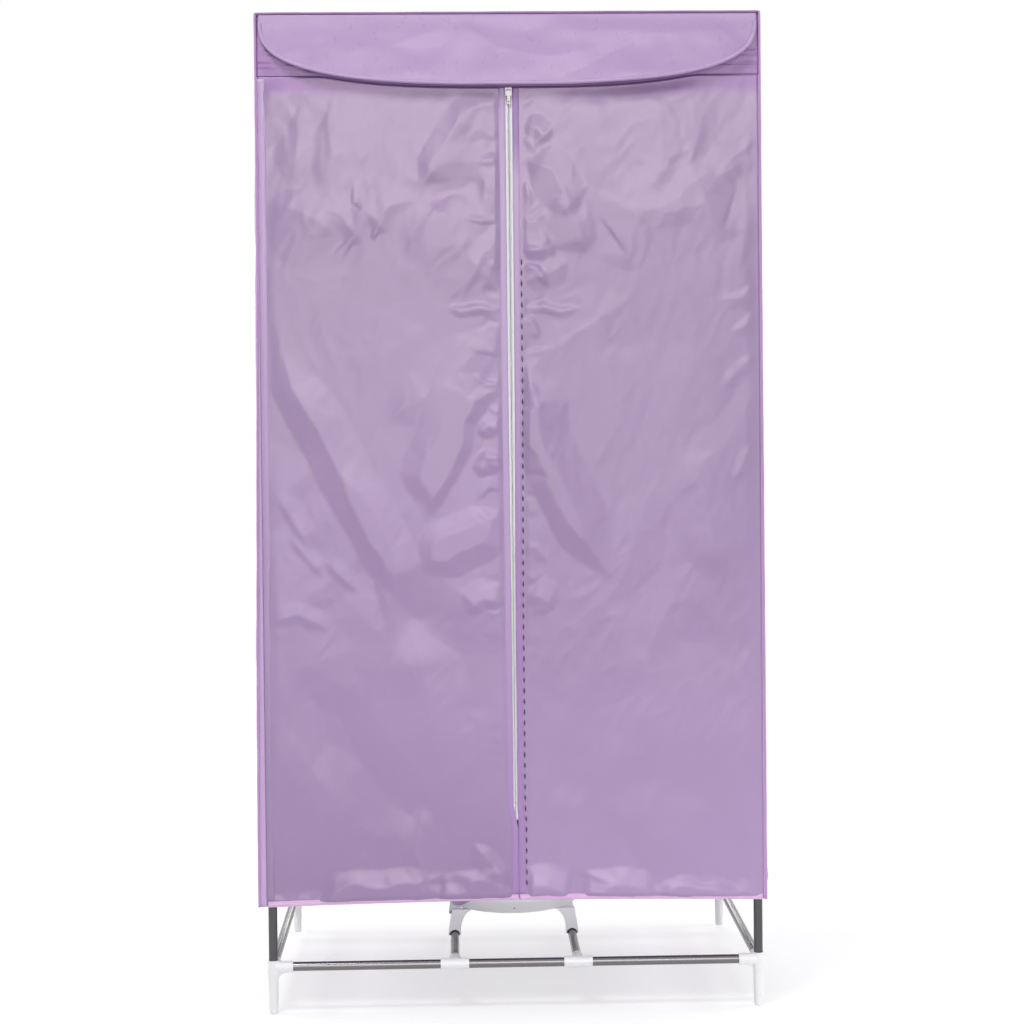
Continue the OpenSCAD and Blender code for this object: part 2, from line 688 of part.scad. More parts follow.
// Pull tab: an eye on the slider's pin and a flat tongue with a hole
pull_w = 2 * (ear_x - ear_w / 2) - slider_fit;
pull_t = 1;
pull_hole = 1;
module zip_pull() color("silver") translate([0, pin_y, pin_z]) {
    difference() {
        union() {
            translate([-pull_w / 2, 0, 0]) along_x()
                cylinder(r = pull_pin_r + pin_fit + pull_t / 2, h = pull_w, $fn = fine);
            translate([-pull_w / 2, -pull_t / 2, -pull_l]) cube([pull_w, pull_t, pull_l]);
        }
        translate([-pull_w, 0, 0]) along_x() cylinder(r = pull_pin_r + pin_fit, h = 2 * pull_w, $fn = fine);
        translate([0, -pull_w, -pull_l + 2 * pull_hole + pull_t]) along_y()
            cylinder(r = pull_hole, h = 2 * pull_w, $fn = fine);
    }
}

// ---------------------------------------------------------------- Heater housing

pan_round = 9;
rim_low = base_h - 8;
rim_step = 3;
// Outline of the lower shell's outside, drawn in by a wall w and closed at a height top
function pan(w, top) = concat([[0, w]],
    [for (a = [0 : 12 : 60]) [base_r - pan_round + (pan_round - w) * sin(a),
        pan_round - (pan_round - w) * cos(a)]],
    [[rim_r - 2 - w, rim_low], [rim_r - w, rim_low + rim_step], [rim_r - w, top], [0, top]]);

boss_r = 5;
boss_ring = 87;
boss_z = base_h - 4;
screw_r = 1.6;
screw_fit = 0.1;
lens_r = 2;
lens_z = 11;
// Radius of the lower shell's outside at the indicator's height
lens_y = base_r + (rim_r - base_r) * (lens_z - pan_round) / (rim_low - pan_round);

module at_bosses() for (a = [45 : 90 : 315]) rotate([0, 0, a]) translate([boss_ring, 0, 0]) children();

module heater_base() color(white) translate([0, 0, heater_z]) {
    difference() {
        union() {
            rotate_extrude($fn = 2 * fine) difference() {
                polygon(pan(0, base_h));
                polygon(pan(shell_t, base_h + cut));
            }
            at_bosses() translate([0, 0, shell_t / 2])
                cylinder(r = boss_r, h = boss_z - shell_t / 2, $fn = fine);
        }
        for (i = [0 : intake_slots - 1])
            rotate([0, 0, (i + 0.5) * 360 / intake_slots])
                translate([slot_from, -slot_w / 2, -cut]) cube([slot_l, slot_w, shell_t + 2 * cut]);
        at_bosses() translate([0, 0, shell_t + 2 * cut])
            cylinder(r = screw_r + screw_fit, h = boss_z, $fn = fine);
        translate([0, -rim_r, lens_z]) along_y()
            cylinder(r = lens_r + screw_fit, h = rim_r - base_r / 2, $fn = fine);
    }
}

module indicator_lens() color("darkorange") translate([0, -lens_y - cut, heater_z + lens_z]) along_y()
    cylinder(r = lens_r, h = 3 * shell_t, $fn = fine);

// Brackets: each widens to the heater and ends in a half-round saddle over its carrier tube
module at_brackets()
    for (sx = [-1, 1], sy = [-1, 1]) translate([sx * carrier_x, sy * bracket_span / 2, rail_z])
        mirror([sx < 0 ? 1 : 0, 0, 0]) children();
module heater_brackets() color(white) at_brackets() {
    foot = bracket_foot / 2;
    outer = base_r - pan_round - carrier_x;
    top = heater_lift;
    rise = top - tube_r;
    difference() {
        translate([0, bracket_t / 2, 0]) rotate([90, 0, 0]) linear_extrude(bracket_t)
            polygon(concat([[foot, 0], [foot, tube_r], [outer, top]],
                [for (a = [0 : 15 : 90]) [outer - bracket_top + (bracket_top - outer - foot) * sin(a),
                    top - rise * (1 - cos(a))]],
                [[-foot, 0]]));
        translate([0, -bracket_t, 0]) along_y()
            cylinder(r = tube_r + pad_t + 2 * tube_fit, h = 2 * bracket_t, $fn = fine);
    }
}
module saddle_pads() color("#2c2c2e") at_brackets() {
    difference() {
        translate([0, -bracket_t / 2, 0]) along_y()
            cylinder(r = tube_r + pad_t + tube_fit, h = bracket_t, $fn = fine);
        translate([0, -bracket_t, 0]) along_y() cylinder(r = tube_r + tube_fit / 2, h = 2 * bracket_t, $fn = fine);
        translate([-bracket_foot, -bracket_t, -bracket_foot])
            cube([2 * bracket_foot, 2 * bracket_t, bracket_foot]);
    }
}

lip_h = 6;
// Outline of the dome from its lip to the outlet, drawn in by a wall w
function dome(w) = [for (a = [0 : 10 : 90])
    [outlet_r + (rim_r - w - outlet_r) * cos(a), lip_h + (dome_h - lip_h - w) * sin(a)]];
module heater_top() color(white) translate([0, 0, dome_z])
    rotate_extrude($fn = 2 * fine) polygon(concat([[rim_r, 0]], dome(0),
        [for (i = [9 : -1 : 0]) dome(shell_t)[i]], [[rim_r - shell_t, 0]]));

// Outlet grille: a rim, evenly spaced rings and spokes round a solid middle
grille_r = outlet_r - screw_fit;
grille_mid = 12;
module ring_bar(r) difference() {
    cylinder(r = r, h = grille_h, $fn = 2 * fine);
    translate([0, 0, -cut]) cylinder(r = r - grille_bar, h = grille_h + 2 * cut, $fn = 2 * fine);
}
module outlet_grille() color("#9fa0a6") translate([0, 0, outlet_z - grille_h]) {
    for (i = [1 : grille_rings]) ring_bar(grille_mid + (grille_r - grille_mid) * i / grille_rings);
    cylinder(r = grille_mid, h = grille_h, $fn = fine);
    for (i = [0 : 7]) rotate([0, 0, i * 45])
        translate([grille_mid - cut, -grille_bar / 2, grille_bar / 4])
            cube([grille_r - grille_mid - grille_bar / 2 + cut, grille_bar, grille_h - grille_bar / 2]);
}

// ---------------------------------------------------------------- Heating block

baffle_z = 42;
baffle_t = 2;
ptc_w = 136;
ptc_d = 60;
ptc_h = 16;
ptc_rim = 7;
element_t = 4;
fin_pitch = 6;
fin_t = 0.6;
// Radius of the dome's inside at a height above its lip line
function dome_in(z) = outlet_r + (rim_r - shell_t - outlet_r)
    * cos(asin((z - lip_h) / (dome_h - lip_h - shell_t)));

module baffle_plate() color("silver") translate([0, 0, dome_z + baffle_z]) difference() {
    cylinder(r = dome_in(baffle_z + baffle_t) - cloth_gap - cut / 2, h = baffle_t, $fn = 2 * fine);
    translate([-ptc_w / 2, -ptc_d / 2, -cut]) cube([ptc_w, ptc_d, baffle_t + 2 * cut]);
}
module ptc_frame() color("#3a3a3d") translate([0, 0, dome_z + baffle_z + baffle_t]) difference() {
    translate([-ptc_w / 2 - ptc_rim, -ptc_d / 2 - ptc_rim, 0])
        cube([ptc_w + 2 * ptc_rim, ptc_d + 2 * ptc_rim, ptc_h]);
    translate([-ptc_w / 2, -ptc_d / 2, -cut]) cube([ptc_w, ptc_d, ptc_h + 2 * cut]);
}
element_y = [-ptc_d / 2 + element_t / 2 + screw_fit, 0, ptc_d / 2 - element_t / 2 - screw_fit];
module ptc_elements() color("#6b5a4a") translate([0, 0, dome_z + baffle_z + baffle_t])
    for (y = element_y)
        translate([-ptc_w / 2 + screw_fit, y - element_t / 2, 0])
            cube([ptc_w - 2 * screw_fit, element_t, ptc_h]);
// Folded aluminium strip between two elements, as one zigzag
module ptc_fins() color("silver") translate([0, 0, dome_z + baffle_z + baffle_t])
    for (s = [-1, 1]) {
        low = element_t / 2 + screw_fit;
        high = element_y[2] - element_t / 2 - screw_fit;
        rise = fin_t * (high - low) * 2 / fin_pitch;
        turns = floor((ptc_w - fin_pitch) / fin_pitch);
        zig = [for (i = [0 : 2 * turns])
            [(i - turns) * fin_pitch / 2, i % 2 == 0 ? low : high - rise]];
        mirror([0, s < 0 ? 1 : 0, 0]) linear_extrude(ptc_h)
            polygon(concat(zig, [for (i = [2 * turns : -1 : 0]) zig[i] + [0, rise]]));
    }
module thermostat() color("#2f2f33")
    translate([0, ptc_d / 2 + ptc_rim + 14, dome_z + baffle_z + baffle_t]) {
        cylinder(r = 8, h = 5, $fn = fine);
        translate([0, 0, 4]) cylinder(r = 5, h = 4, $fn = fine);
    }

// ---------------------------------------------------------------- Fan and motor

hub_z = heater_z + shell_t + 6;
mount_z = heater_z + boss_z;
mount_t = 3;
shaft_r = shaft_d / 2;

// Blade outline seen from above: its edges sweep back from the hub to the tip
function blade_edge(from, sweep) = [for (k = [0 : 4])
    let (r = hub_r - cut + (fan_r - hub_r + cut) * k / 4, a = from + sweep * sin(22.5 * k)) r * [cos(a), sin(a)]];
module fan() color("#d8d9dd") translate([0, 0, hub_z]) {
    difference() {
        union() {
            cylinder(r = hub_r, h = hub_h, $fn = fine);
            for (i = [0 : fan_blades - 1]) rotate([0, 0, i * 360 / fan_blades]) intersection() {
                linear_extrude(hub_h) polygon(concat(blade_edge(-14, -6),
                    [for (k = [4 : -1 : 0]) blade_edge(16, -10)[k]]));
                rotate([blade_pitch, 0, 0]) translate([hub_r / 2, -fan_r / 2, 4])
                    cube([fan_r, fan_r, blade_t]);
            }
        }
        translate([0, 0, -cut]) cylinder(r = shaft_r + shaft_fit / 2, h = hub_h + 2 * cut, $fn = fine);
    }
}
motor_seat = 8;
module fan_shaft() color("silver") translate([0, 0, hub_z + cut])
    cylinder(r = shaft_r, h = mount_z + mount_t + motor_seat - hub_z - cut, $fn = fine);

// Motor can with a seat flange, end boss and the blind bearing bore for its shaft
module motor() color("#8c8d92") translate([0, 0, mount_z + mount_t]) difference() {
    union() {
        cylinder(d = motor_d, h = motor_h, $fn = fine);
        cylinder(d = motor_d + 10, h = 2, $fn = fine);
        translate([0, 0, motor_h]) cylinder(d = motor_d / 3, h = 4, $fn = fine);
    }
    translate([0, 0, -cut]) cylinder(r = shaft_r + shaft_fit, h = motor_seat + cut + end_fit, $fn = fine);
}
module motor_mount() color(white) translate([0, 0, mount_z]) difference() {
    union() {
        cylinder(d = motor_d + 12, h = mount_t, $fn = fine);
        for (a = [45, 135]) rotate([0, 0, a])
            translate([-boss_ring, -boss_r, 0]) cube([2 * boss_ring, 2 * boss_r, mount_t]);
        at_bosses() cylinder(r = boss_r + cut / 2, h = mount_t, $fn = fine);
    }
    translate([0, 0, -cut]) cylinder(r = shaft_r + 2, h = mount_t + 2 * cut, $fn = fine);
    at_bosses() translate([0, 0, -cut]) cylinder(r = screw_r + screw_fit, h = mount_t + 2 * cut, $fn = fine);
}
screw_l = 16;
module case_screws() color("silver") translate([0, 0, mount_z + mount_t]) at_bosses() {
    translate([0, 0, -screw_l]) cylinder(r = screw_r, h = screw_l + cut, $fn = fine);
    difference() {
        cylinder(r = 2 * screw_r, h = 2, $fn = fine);
        for (a = [0, 90]) rotate([0, 0, a]) translate([-2, -0.4, 1]) cube([4, 0.8, 2]);
    }
}

// ---------------------------------------------------------------- Controls

box_z = heater_z + box_h / 2 - 9;
box_round = 4;
box_wall = 2.4;
knob_shaft_r = 3;
timer_l = 14;

function rounded(w, h, r) = [for (q = [0 : 3], a = [0 : 15 : 90])
    let (sx = q == 0 || q == 3 ? 1 : -1, sy = q < 2 ? 1 : -1)
    [sx * (w / 2 - r) + r * cos(q * 90 + a), sy * (h / 2 - r) + r * sin(q * 90 + a)]];
// Rounded bar along Y from its rear face forwards
module bar_y(w, h, r, length) rotate([90, 0, 0]) linear_extrude(length) polygon(rounded(w, h, r));
// What the lower shell takes up, grown by a clearance
module pan_space(grow) translate([0, 0, heater_z - grow]) rotate_extrude($fn = 2 * fine)
    polygon([for (p = pan(0, base_h + 2 * grow)) [p[0] > 0 ? p[0] + grow : 0, p[1]]]);

// The button stands out of the box and ends in it, its travel short of the switch
button_out = 3;
button_in = 3;
switch_face = box_y - box_wall - button_in - button_travel - end_fit;
switch_d = 8;
switch_w = button_w + 1;

// Control box: a hollow moulding under the heater's rim, at the back, with a seat for the switch
module control_box() color(white) difference() {
    box_floor = box_z - box_h / 2 + box_wall;
    union() {
        difference() {
            translate([0, box_y, box_z]) bar_y(box_w, box_h, box_round, box_deep);
            translate([0, box_y - box_wall, box_z]) bar_y(box_w - 2 * box_wall, box_h - 2 * box_wall,
                box_round - box_wall, box_deep - 2 * box_wall);
        }
        translate([button_x - switch_w / 2, switch_face - switch_d, box_floor - box_wall / 2])
            cube([switch_w, switch_d, box_z - switch_w / 2 - button_fit - box_floor + box_wall / 2]);
    }
    pan_space(cloth_gap / 2);
    translate([knob_x, box_y - 2 * box_wall, box_z]) along_y()
        cylinder(r = knob_shaft_r + button_fit, h = 3 * box_wall, $fn = fine);
    translate([button_x, box_y + cut, box_z])
        bar_y(button_w + 2 * button_fit, button_w + 2 * button_fit, 2, box_wall + 2 * cut);
    translate([gland_x, box_y - 2 * box_wall, box_z]) along_y()
        cylinder(r = 4 + button_fit / 2, h = 3 * box_wall, $fn = fine);
}

timer_front = box_y - box_wall - timer_l - shaft_fit;
module timer_body() color("#3a3a3d") difference() {
    translate([knob_x, timer_front, box_z]) along_y() cylinder(r = 9, h = timer_l, $fn = fine);
    translate([knob_x, timer_front + timer_l / 2, box_z]) along_y()
        cylinder(r = knob_shaft_r + shaft_fit, h = timer_l, $fn = fine);
}
// Knob with its shaft, a skirt, a fluted grip and a pointer ridge
knob_flutes = 18;
module timer_knob() color(white) translate([knob_x, box_y, box_z]) {
    translate([0, -box_wall - timer_l / 2 + end_fit, 0]) along_y()
        cylinder(r = knob_shaft_r, h = box_wall + timer_l / 2, $fn = fine);
    difference() {
        translate([0, end_fit, 0]) along_y() rotate_extrude($fn = fine)
            polygon([[0, 0], [knob_r, 0], [knob_r, 2], [knob_r - 1.4, 3.2], [knob_r - 2, knob_l - 1.2],
                [knob_r - 3.2, knob_l], [0, knob_l]]);
        for (i = [0 : knob_flutes - 1]) along_y() rotate([0, 0, i * 360 / knob_flutes])
            translate([knob_r - 1.2, 0, 3.6]) cylinder(r = 0.7, h = knob_l, $fn = 16);
    }
    translate([-0.6, knob_l - cut / 2, 0]) cube([1.2, 1 + cut / 2, knob_r - 3.6]);
}

module switch_body() color("#3a3a3d")
    translate([button_x, switch_face, box_z]) bar_y(switch_w, switch_w, 1, switch_d);
module power_button() color("#c9362e") translate([button_x, box_y + button_out, box_z])
    bar_y(button_w, button_w, 1.8, button_out + box_wall + button_in);

// Tapered gland where the mains lead enters, with its bore open to the box
module cord_gland() color("#2c2c2e") translate([gland_x, box_y, box_z]) along_y() difference() {
    union() {
        translate([0, 0, -box_wall - 2]) cylinder(r = 4, h = box_wall + 4, $fn = fine);
        translate([0, 0, button_fit]) rotate_extrude($fn = fine)
            polygon([[0, 0], [6, 0], [6, 2], [5, 3], [4.4, 12], [0, 12]]);
    }
    translate([0, 0, -box_wall - 2 - cut]) cylinder(r = 3.2, h = 20 + box_wall, $fn = fine);
}

// ---------------------------------------------------------------- Nodes

front_feet();
rear_feet();
bottom_front_rail();
bottom_rear_rail();
bottom_side_rails();
bottom_tees();
heater_carriers();
lower_posts();
upper_posts();
middle_connectors();
middle_cross_rails();
middle_side_rails();
top_connectors();
top_cross_rails();
top_side_rails();
side_tees();
hanging_rods();
cover_roof();
cover_back();
cover_left_side();
cover_right_side();
cover_header();
cover_floor();
heater_cuff();
roof_piping();
corner_piping();
cover_hem();
door_left_panel();
door_right_panel();
door_left_hem();
door_right_hem();
zip_left();
zip_right();
zip_slider();
zip_pull();
front_flap();
flap_binding();
heater_base();
heater_brackets();
saddle_pads();
heater_top();
outlet_grille();
baffle_plate();
ptc_frame();
ptc_elements();
ptc_fins();
thermostat();
fan();
fan_shaft();
motor();
motor_mount();
case_screws();
control_box();
timer_body();
timer_knob();
switch_body();
power_button();
indicator_lens();
cord_gland();
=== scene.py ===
"""Looks of a portable clothes dryer: lilac cloth cover, steel tubes, white connectors and heater.
Metres, +Z up, the front faces -Y. Places come from the fixed frame. A side is -1 left, 1 right."""
import json
import math

import bpy
import numpy as np
from mathutils import Matrix, Vector


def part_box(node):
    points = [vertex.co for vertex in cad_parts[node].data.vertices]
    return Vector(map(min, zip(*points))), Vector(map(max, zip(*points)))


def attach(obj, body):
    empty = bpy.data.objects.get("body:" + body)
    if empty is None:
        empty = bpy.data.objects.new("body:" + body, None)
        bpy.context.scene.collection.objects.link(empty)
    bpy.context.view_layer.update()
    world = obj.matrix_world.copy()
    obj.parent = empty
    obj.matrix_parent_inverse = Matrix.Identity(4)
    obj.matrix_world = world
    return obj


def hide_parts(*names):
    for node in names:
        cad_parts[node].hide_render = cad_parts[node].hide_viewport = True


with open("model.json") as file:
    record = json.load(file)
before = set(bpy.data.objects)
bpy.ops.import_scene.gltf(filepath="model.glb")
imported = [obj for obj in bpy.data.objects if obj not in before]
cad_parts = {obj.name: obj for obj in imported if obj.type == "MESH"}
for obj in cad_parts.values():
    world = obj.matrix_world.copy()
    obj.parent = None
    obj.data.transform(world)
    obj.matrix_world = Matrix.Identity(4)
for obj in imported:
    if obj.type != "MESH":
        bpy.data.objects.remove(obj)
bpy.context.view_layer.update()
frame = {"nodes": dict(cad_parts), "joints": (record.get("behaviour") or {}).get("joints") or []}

# ------------------ Places taken from the frame


def joint_place(name):
    return next(j for j in frame["joints"] if j["name"] == name)["pos_m"]


def box_middle(node, axis):
    low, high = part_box(node)
    return (low[axis] + high[axis]) / 2


SIDE, FRONT = -joint_place("door_left_hinge")[0], joint_place("door_left_hinge")[1]
ROOF = joint_place("flap_hinge")[2]
PIPING_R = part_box("corner_piping")[1].x - SIDE
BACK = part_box("corner_piping")[1].y - PIPING_R
HEM_LOW, HEM_TOP = (end.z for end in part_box("cover_hem"))
HEADER_TOP, HEADER_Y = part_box("cover_header")[1].z, box_middle("cover_header", 1)
DOOR_SIDE, DOOR_HIGH = -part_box("door_left_panel")[0].x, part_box("door_left_panel")[1].z
FLAP_HALF, FLAP_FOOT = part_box("front_flap")[1].x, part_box("front_flap")[0].z
FLOOR_Z = box_middle("cover_floor", 2)
CUFF_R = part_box("heater_cuff")[1].x
ZIP_LOW, ZIP_TOP = (end.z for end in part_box("zip_right"))
TAPE_Y, TAPE_W = box_middle("zip_right", 1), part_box("zip_right")[1].x

CLOTH_T = 0.0006
HEM_LIFT = 0.0006  # hanging sheets start this far above their lower edge's line
SEAM = PIPING_R + 0.0004  # and keep this far from the corners

# ------------------ Camera

# Place in metres, turns in degrees, lens in the photo's pixels
CAMERA_PLACE = (-0.0785, -3.0748, 0.8787)
CAMERA_YAW, CAMERA_PITCH, CAMERA_ROLL = -1.586, -1.252, 0.557
SENSOR = 36.0
FOCAL_PIXELS = 2040.2
IMAGE = 1024
AXIS_ABOVE_MIDDLE = 81.3


def make_camera():
    data = bpy.data.cameras.new("camera")
    data.sensor_width = SENSOR
    data.lens = FOCAL_PIXELS * SENSOR / IMAGE
    data.shift_y = -AXIS_ABOVE_MIDDLE / IMAGE
    data.clip_start, data.clip_end = 0.05, 100
    turn = Matrix.Identity(3)
    for angle, axis in ((CAMERA_YAW, "Z"), (CAMERA_PITCH, "X"), (CAMERA_ROLL, "Y")):
        turn = turn @ Matrix.Rotation(math.radians(angle), 3, axis)
    right, ahead, up = turn.col[0], turn.col[1], turn.col[2]
    camera = bpy.data.objects.new("camera", data)
    turned = Matrix((right, up, -ahead)).transposed().to_4x4()
    camera.matrix_world = Matrix.Translation(CAMERA_PLACE) @ turned
    bpy.context.scene.collection.objects.link(camera)
    bpy.context.scene.camera = camera


make_camera()

# ------------------ Noise and folds


def smooth(t):
    k = np.clip(t, 0, 1)
    return k * k * (3 - 2 * k)


def hashed(ix, iy, seed):
    """Even random numbers from 0 to 1, one for each whole ix, iy and seed."""
    h = (ix.astype(np.int64) * 374761393 + iy.astype(np.int64) * 668265263 + seed * 362437) & 0xFFFFFFFF
    h = ((h ^ (h >> 13)) * 1274126177) & 0xFFFFFFFF
    return ((h ^ (h >> 16)) & 0xFFFF) / 65535.0


def noise(x, y, seed=0):
    """Gradient noise from about -1 to 1."""
    ix, iy = np.floor(x), np.floor(y)
    fx, fy = x - ix, y - iy
    ux, uy = (f * f * f * (f * (f * 6 - 15) + 10) for f in (fx, fy))
    total = np.zeros(np.broadcast(x, y).shape)
    for dx in (0, 1):
        for dy in (0, 1):
            turn = 2 * np.pi * hashed(ix + dx, iy + dy, seed)
            dot = np.cos(turn) * (fx - dx) + np.sin(turn) * (fy - dy)
            total = total + dot * (ux if dx else 1 - ux) * (uy if dy else 1 - uy)
    return 1.5 * total


def wobble(along, seed):
    """Noise along a line."""
    return noise(along, 0 * along, seed)


def bent(u, v, scale, amount, seed):
    """Coordinates pushed about by a broad noise."""
    bend_u, bend_v = (amount * noise(u * scale, v * scale, seed + k) for k in (11, 12))
    return u + bend_u, v + bend_v


def crumple(x, z, size, seed, lean=0.0, stretch=1.6):
    """Creased cloth: sharp bent lines between smooth facets, longer along Z, up to 1."""
    u, v = bent((x + lean * z) / size, z / (size * stretch), 0.7, 0.45, seed)
    return 1 - 3.2 * np.abs(noise(u, v, seed)) ** 0.9


def facets(x, z, size, seed, lean=0.0, stretch=1.5):
    """Crinkled cloth: flat facets that meet in crisp creases, from -1 to 1."""
    u, v = bent((x + lean * z) / size, z / (size * stretch), 0.6, 0.5, seed)
    iu, iv = np.floor(u), np.floor(v)
    fu, fv = u - iu, v - iv
    a, b, c, d = (2 * hashed(iu + i, iv + j, seed) - 1 for i, j in ((0, 0), (1, 0), (0, 1), (1, 1)))
    rising = np.where(fv > fu, a + (d - c) * fu + (c - a) * fv, a + (b - a) * fu + (d - b) * fv)
    falling = np.where(fu + fv < 1, a + (b - a) * fu + (c - a) * fv,
                       d + (c - d) * (1 - fu) + (b - d) * (1 - fv))
    return np.where(hashed(iu, iv, seed + 5) > 0.5, rising, falling)


def fold(x, z, path, width, height, steep=0.4, ends=0.3):
    """One crease along a path of (x, z) points. It reaches width to its right and width * steep to
    its left, and each end tapers off over the share ends of its length."""
    path = np.array(path, float)
    lengths = np.linalg.norm(np.diff(path, axis=0), axis=1)
    starts = np.concatenate([[0], np.cumsum(lengths)])
    best, along, side = np.full(x.shape, 1e9), np.zeros(x.shape), np.zeros(x.shape)
    for a, b, start, length in zip(path[:-1], path[1:], starts, lengths):
        run = (b - a) / length
        t = np.clip((x - a[0]) * run[0] + (z - a[1]) * run[1], 0, length)
        dx, dz = x - a[0] - t * run[0], z - a[1] - t * run[1]
        d = np.hypot(dx, dz)
        near = d < best
        best = np.where(near, d, best)
        along = np.where(near, (start + t) / starts[-1], along)
        side = np.where(near, np.sign(run[0] * dz - run[1] * dx), side)
    taper = smooth(along / ends) * smooth((1 - along) / ends)
    reach = width * np.where(side > 0, steep, 1.0) * (0.3 + 0.7 * taper)
    return height * taper * np.clip(1 - best / reach, 0, 1)


# ------------------ Meshes

ACROSS, FORWARD, UP = (1, 0, 0), (0, -1, 0), (0, 0, 1)
PIPING_SIDES, COIL_SIDES = 10, 5


def pick(side, left, right):
    return left if side < 0 else right


def grid(columns, rows, start=0):
    """Shares across a sheet, from start to 1, and up it, from 0 to 1."""
    return np.meshgrid(np.linspace(start, 1, columns), np.linspace(0, 1, rows))


def points_at(x, y, z):
    return np.stack(np.broadcast_arrays(x, y, z), -1)


def unit(v):
    return v / np.maximum(np.linalg.norm(v, axis=-1, keepdims=True), 1e-12)


def mesh_from(name, points, faces, material):
    mesh = bpy.data.meshes.new(name)
    mesh.from_pydata([tuple(p) for p in points], [], [tuple(int(i) for i in f) for f in faces])
    mesh.validate()
    mesh.materials.append(material)
    mesh.polygons.foreach_set("use_smooth", [True] * len(mesh.polygons))
    thing = bpy.data.objects.new(name, mesh)
    bpy.context.scene.collection.objects.link(thing)
    return thing


def tie(piece, body, nodes=()):
    """Lets a piece ride on its body, in place of CAD nodes, which it hides."""
    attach(piece, body)
    if nodes:
        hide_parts(*nodes)
    return piece


def grid_faces(rows, columns, wrap=False):
    i, j = np.meshgrid(np.arange(rows - 1), np.arange(columns if wrap else columns - 1), indexing="ij")
    i, j = i.ravel(), j.ravel()
    nxt = (j + 1) % columns
    return np.stack([i * columns + j, i * columns + nxt, (i + 1) * columns + nxt, (i + 1) * columns + j], 1)


def cloth(name, points, material, body, nodes, flip=False):
    """Sheet from a (rows, columns, 3) array of points, with the cloth's thickness."""
    faces = grid_faces(*points.shape[:2])
    piece = mesh_from(name, points.reshape(-1, 3), faces[:, ::-1] if flip else faces, material)
    solid = piece.modifiers.new("thickness", "SOLIDIFY")
    solid.thickness, solid.offset = CLOTH_T, 0
    return tie(piece, body, nodes)


def sweep(name, path, section, side, face, material, body, nodes=()):
    """Closed section of (side, face) offsets carried along a path, with its ends closed."""
    path, section = np.asarray(path, float), np.asarray(section, float)
    side, face = (np.broadcast_to(np.asarray(v, float), path.shape) for v in (side, face))
    count, n = len(section), len(path)
    points = path[:, None] + section[None, :, :1] * side[:, None] + section[None, :, 1:] * face[:, None]
    faces = [tuple(f) for f in grid_faces(n, count, wrap=True)]
    faces += [tuple(range(count))[::-1], tuple((n - 1) * count + k for k in range(count))]
    return tie(mesh_from(name, points.reshape(-1, 3), faces, material), body, nodes)


def ring(radius, sides):
    a = 2 * np.pi * np.arange(sides) / sides
    return np.stack([radius * np.cos(a), radius * np.sin(a)], 1)


def stitches(name, path, material, body, pitch=0.0034, length=0.0024, radius=0.00028):
    """Row of short threads along a path, standing a little out of the cloth towards the front."""
    steps = np.linalg.norm(np.diff(path, axis=0), axis=1)
    at = np.concatenate([[0], np.cumsum(steps)])
    middles = np.arange(pitch, at[-1] - pitch / 2, pitch)

    def where(distance):
        return np.stack([np.interp(distance, at, path[:, k]) for k in range(3)], 1)

    centre, run = where(middles), unit(where(middles + length / 2) - where(middles - length / 2))
    out = np.broadcast_to(np.asarray(FORWARD, float), centre.shape)
    across = np.cross(run, out)
    low, top = centre - out * radius * 0.5, centre + out * radius
    corners = [centre - run * length / 2 - out * radius, low + across * radius, top, low - across * radius,
               centre + run * length / 2 - out * radius]
    one = np.array([[0, 1, 2], [0, 2, 3], [4, 2, 1], [4, 3, 2], [0, 3, 1], [4, 1, 3]])
    faces = (one[None] + 5 * np.arange(len(middles))[:, None, None]).reshape(-1, 3)
    return tie(mesh_from(name, np.stack(corners, 1).reshape(-1, 3), faces, material), body)


# ------------------ Materials

WAVE_PERIOD = 0.314  # of a wave texture at scale 1
DYE_VARIES = 0.05
THREAD_DEPTH = 0.00006
CREASE_SCALE = 74.4


def new_material(name):
    material = bpy.data.materials.new(name)
    material.use_nodes = True
    tree = material.node_tree
    return material, tree, tree.nodes["Principled BSDF"]


def wire(tree, node, parts):
    """Links outputs to a node's inputs, or sets plain values there."""
    for socket, part in parts.items():
        if isinstance(part, bpy.types.NodeSocket):
            tree.links.new(part, node.inputs[socket])
        else:
            node.inputs[socket].default_value = part


def add_node(tree, kind, output, parts, **settings):
    """New node with its settings made and its inputs wired. Gives one of its outputs."""
    node = tree.nodes.new(kind)
    for key, value in settings.items():
        setattr(node, key, value)
    wire(tree, node, parts)
    return node.outputs[output]


def object_place(tree):
    return add_node(tree, "ShaderNodeTexCoord", "Object", {})


def scaled(tree, place, scale):
    return add_node(tree, "ShaderNodeMapping", "Vector", {"Vector": place, "Scale": scale})


def noise_node(tree, place, scale, detail=3.0, roughness=0.5):
    parts = {"Vector": place, "Scale": scale, "Detail": detail, "Roughness": roughness}
    return add_node(tree, "ShaderNodeTexNoise", "Fac", parts)


def between(tree, factor, low, high, source=(0.3, 0.7), kind="LINEAR"):
    """Turns a factor that runs over source into one from low to high."""
    parts = {"Value": factor, "From Min": source[0], "From Max": source[1], "To Min": low, "To Max": high}
    return add_node(tree, "ShaderNodeMapRange", "Result", parts, interpolation_type=kind)


def combined(tree, operation, first, second):
    return add_node(tree, "ShaderNodeMath", 0, {0: first, 1: second}, operation=operation)


def mixed(tree, factor, first, second, blend="MIX"):
    """Colour from two colours, each plain or an output."""
    parts = {0: factor, 6: first, 7: second}
    return add_node(tree, "ShaderNodeMix", 2, parts, data_type="RGBA", blend_type=blend)


def bump(tree, height, strength, distance, under=None):
    parts = {"Height": height, "Strength": strength, "Distance": distance}
    if under is not None:
        parts["Normal"] = under
    return add_node(tree, "ShaderNodeBump", "Normal", parts)


def shade(color, share):
    return (*(c * share for c in color), 1)


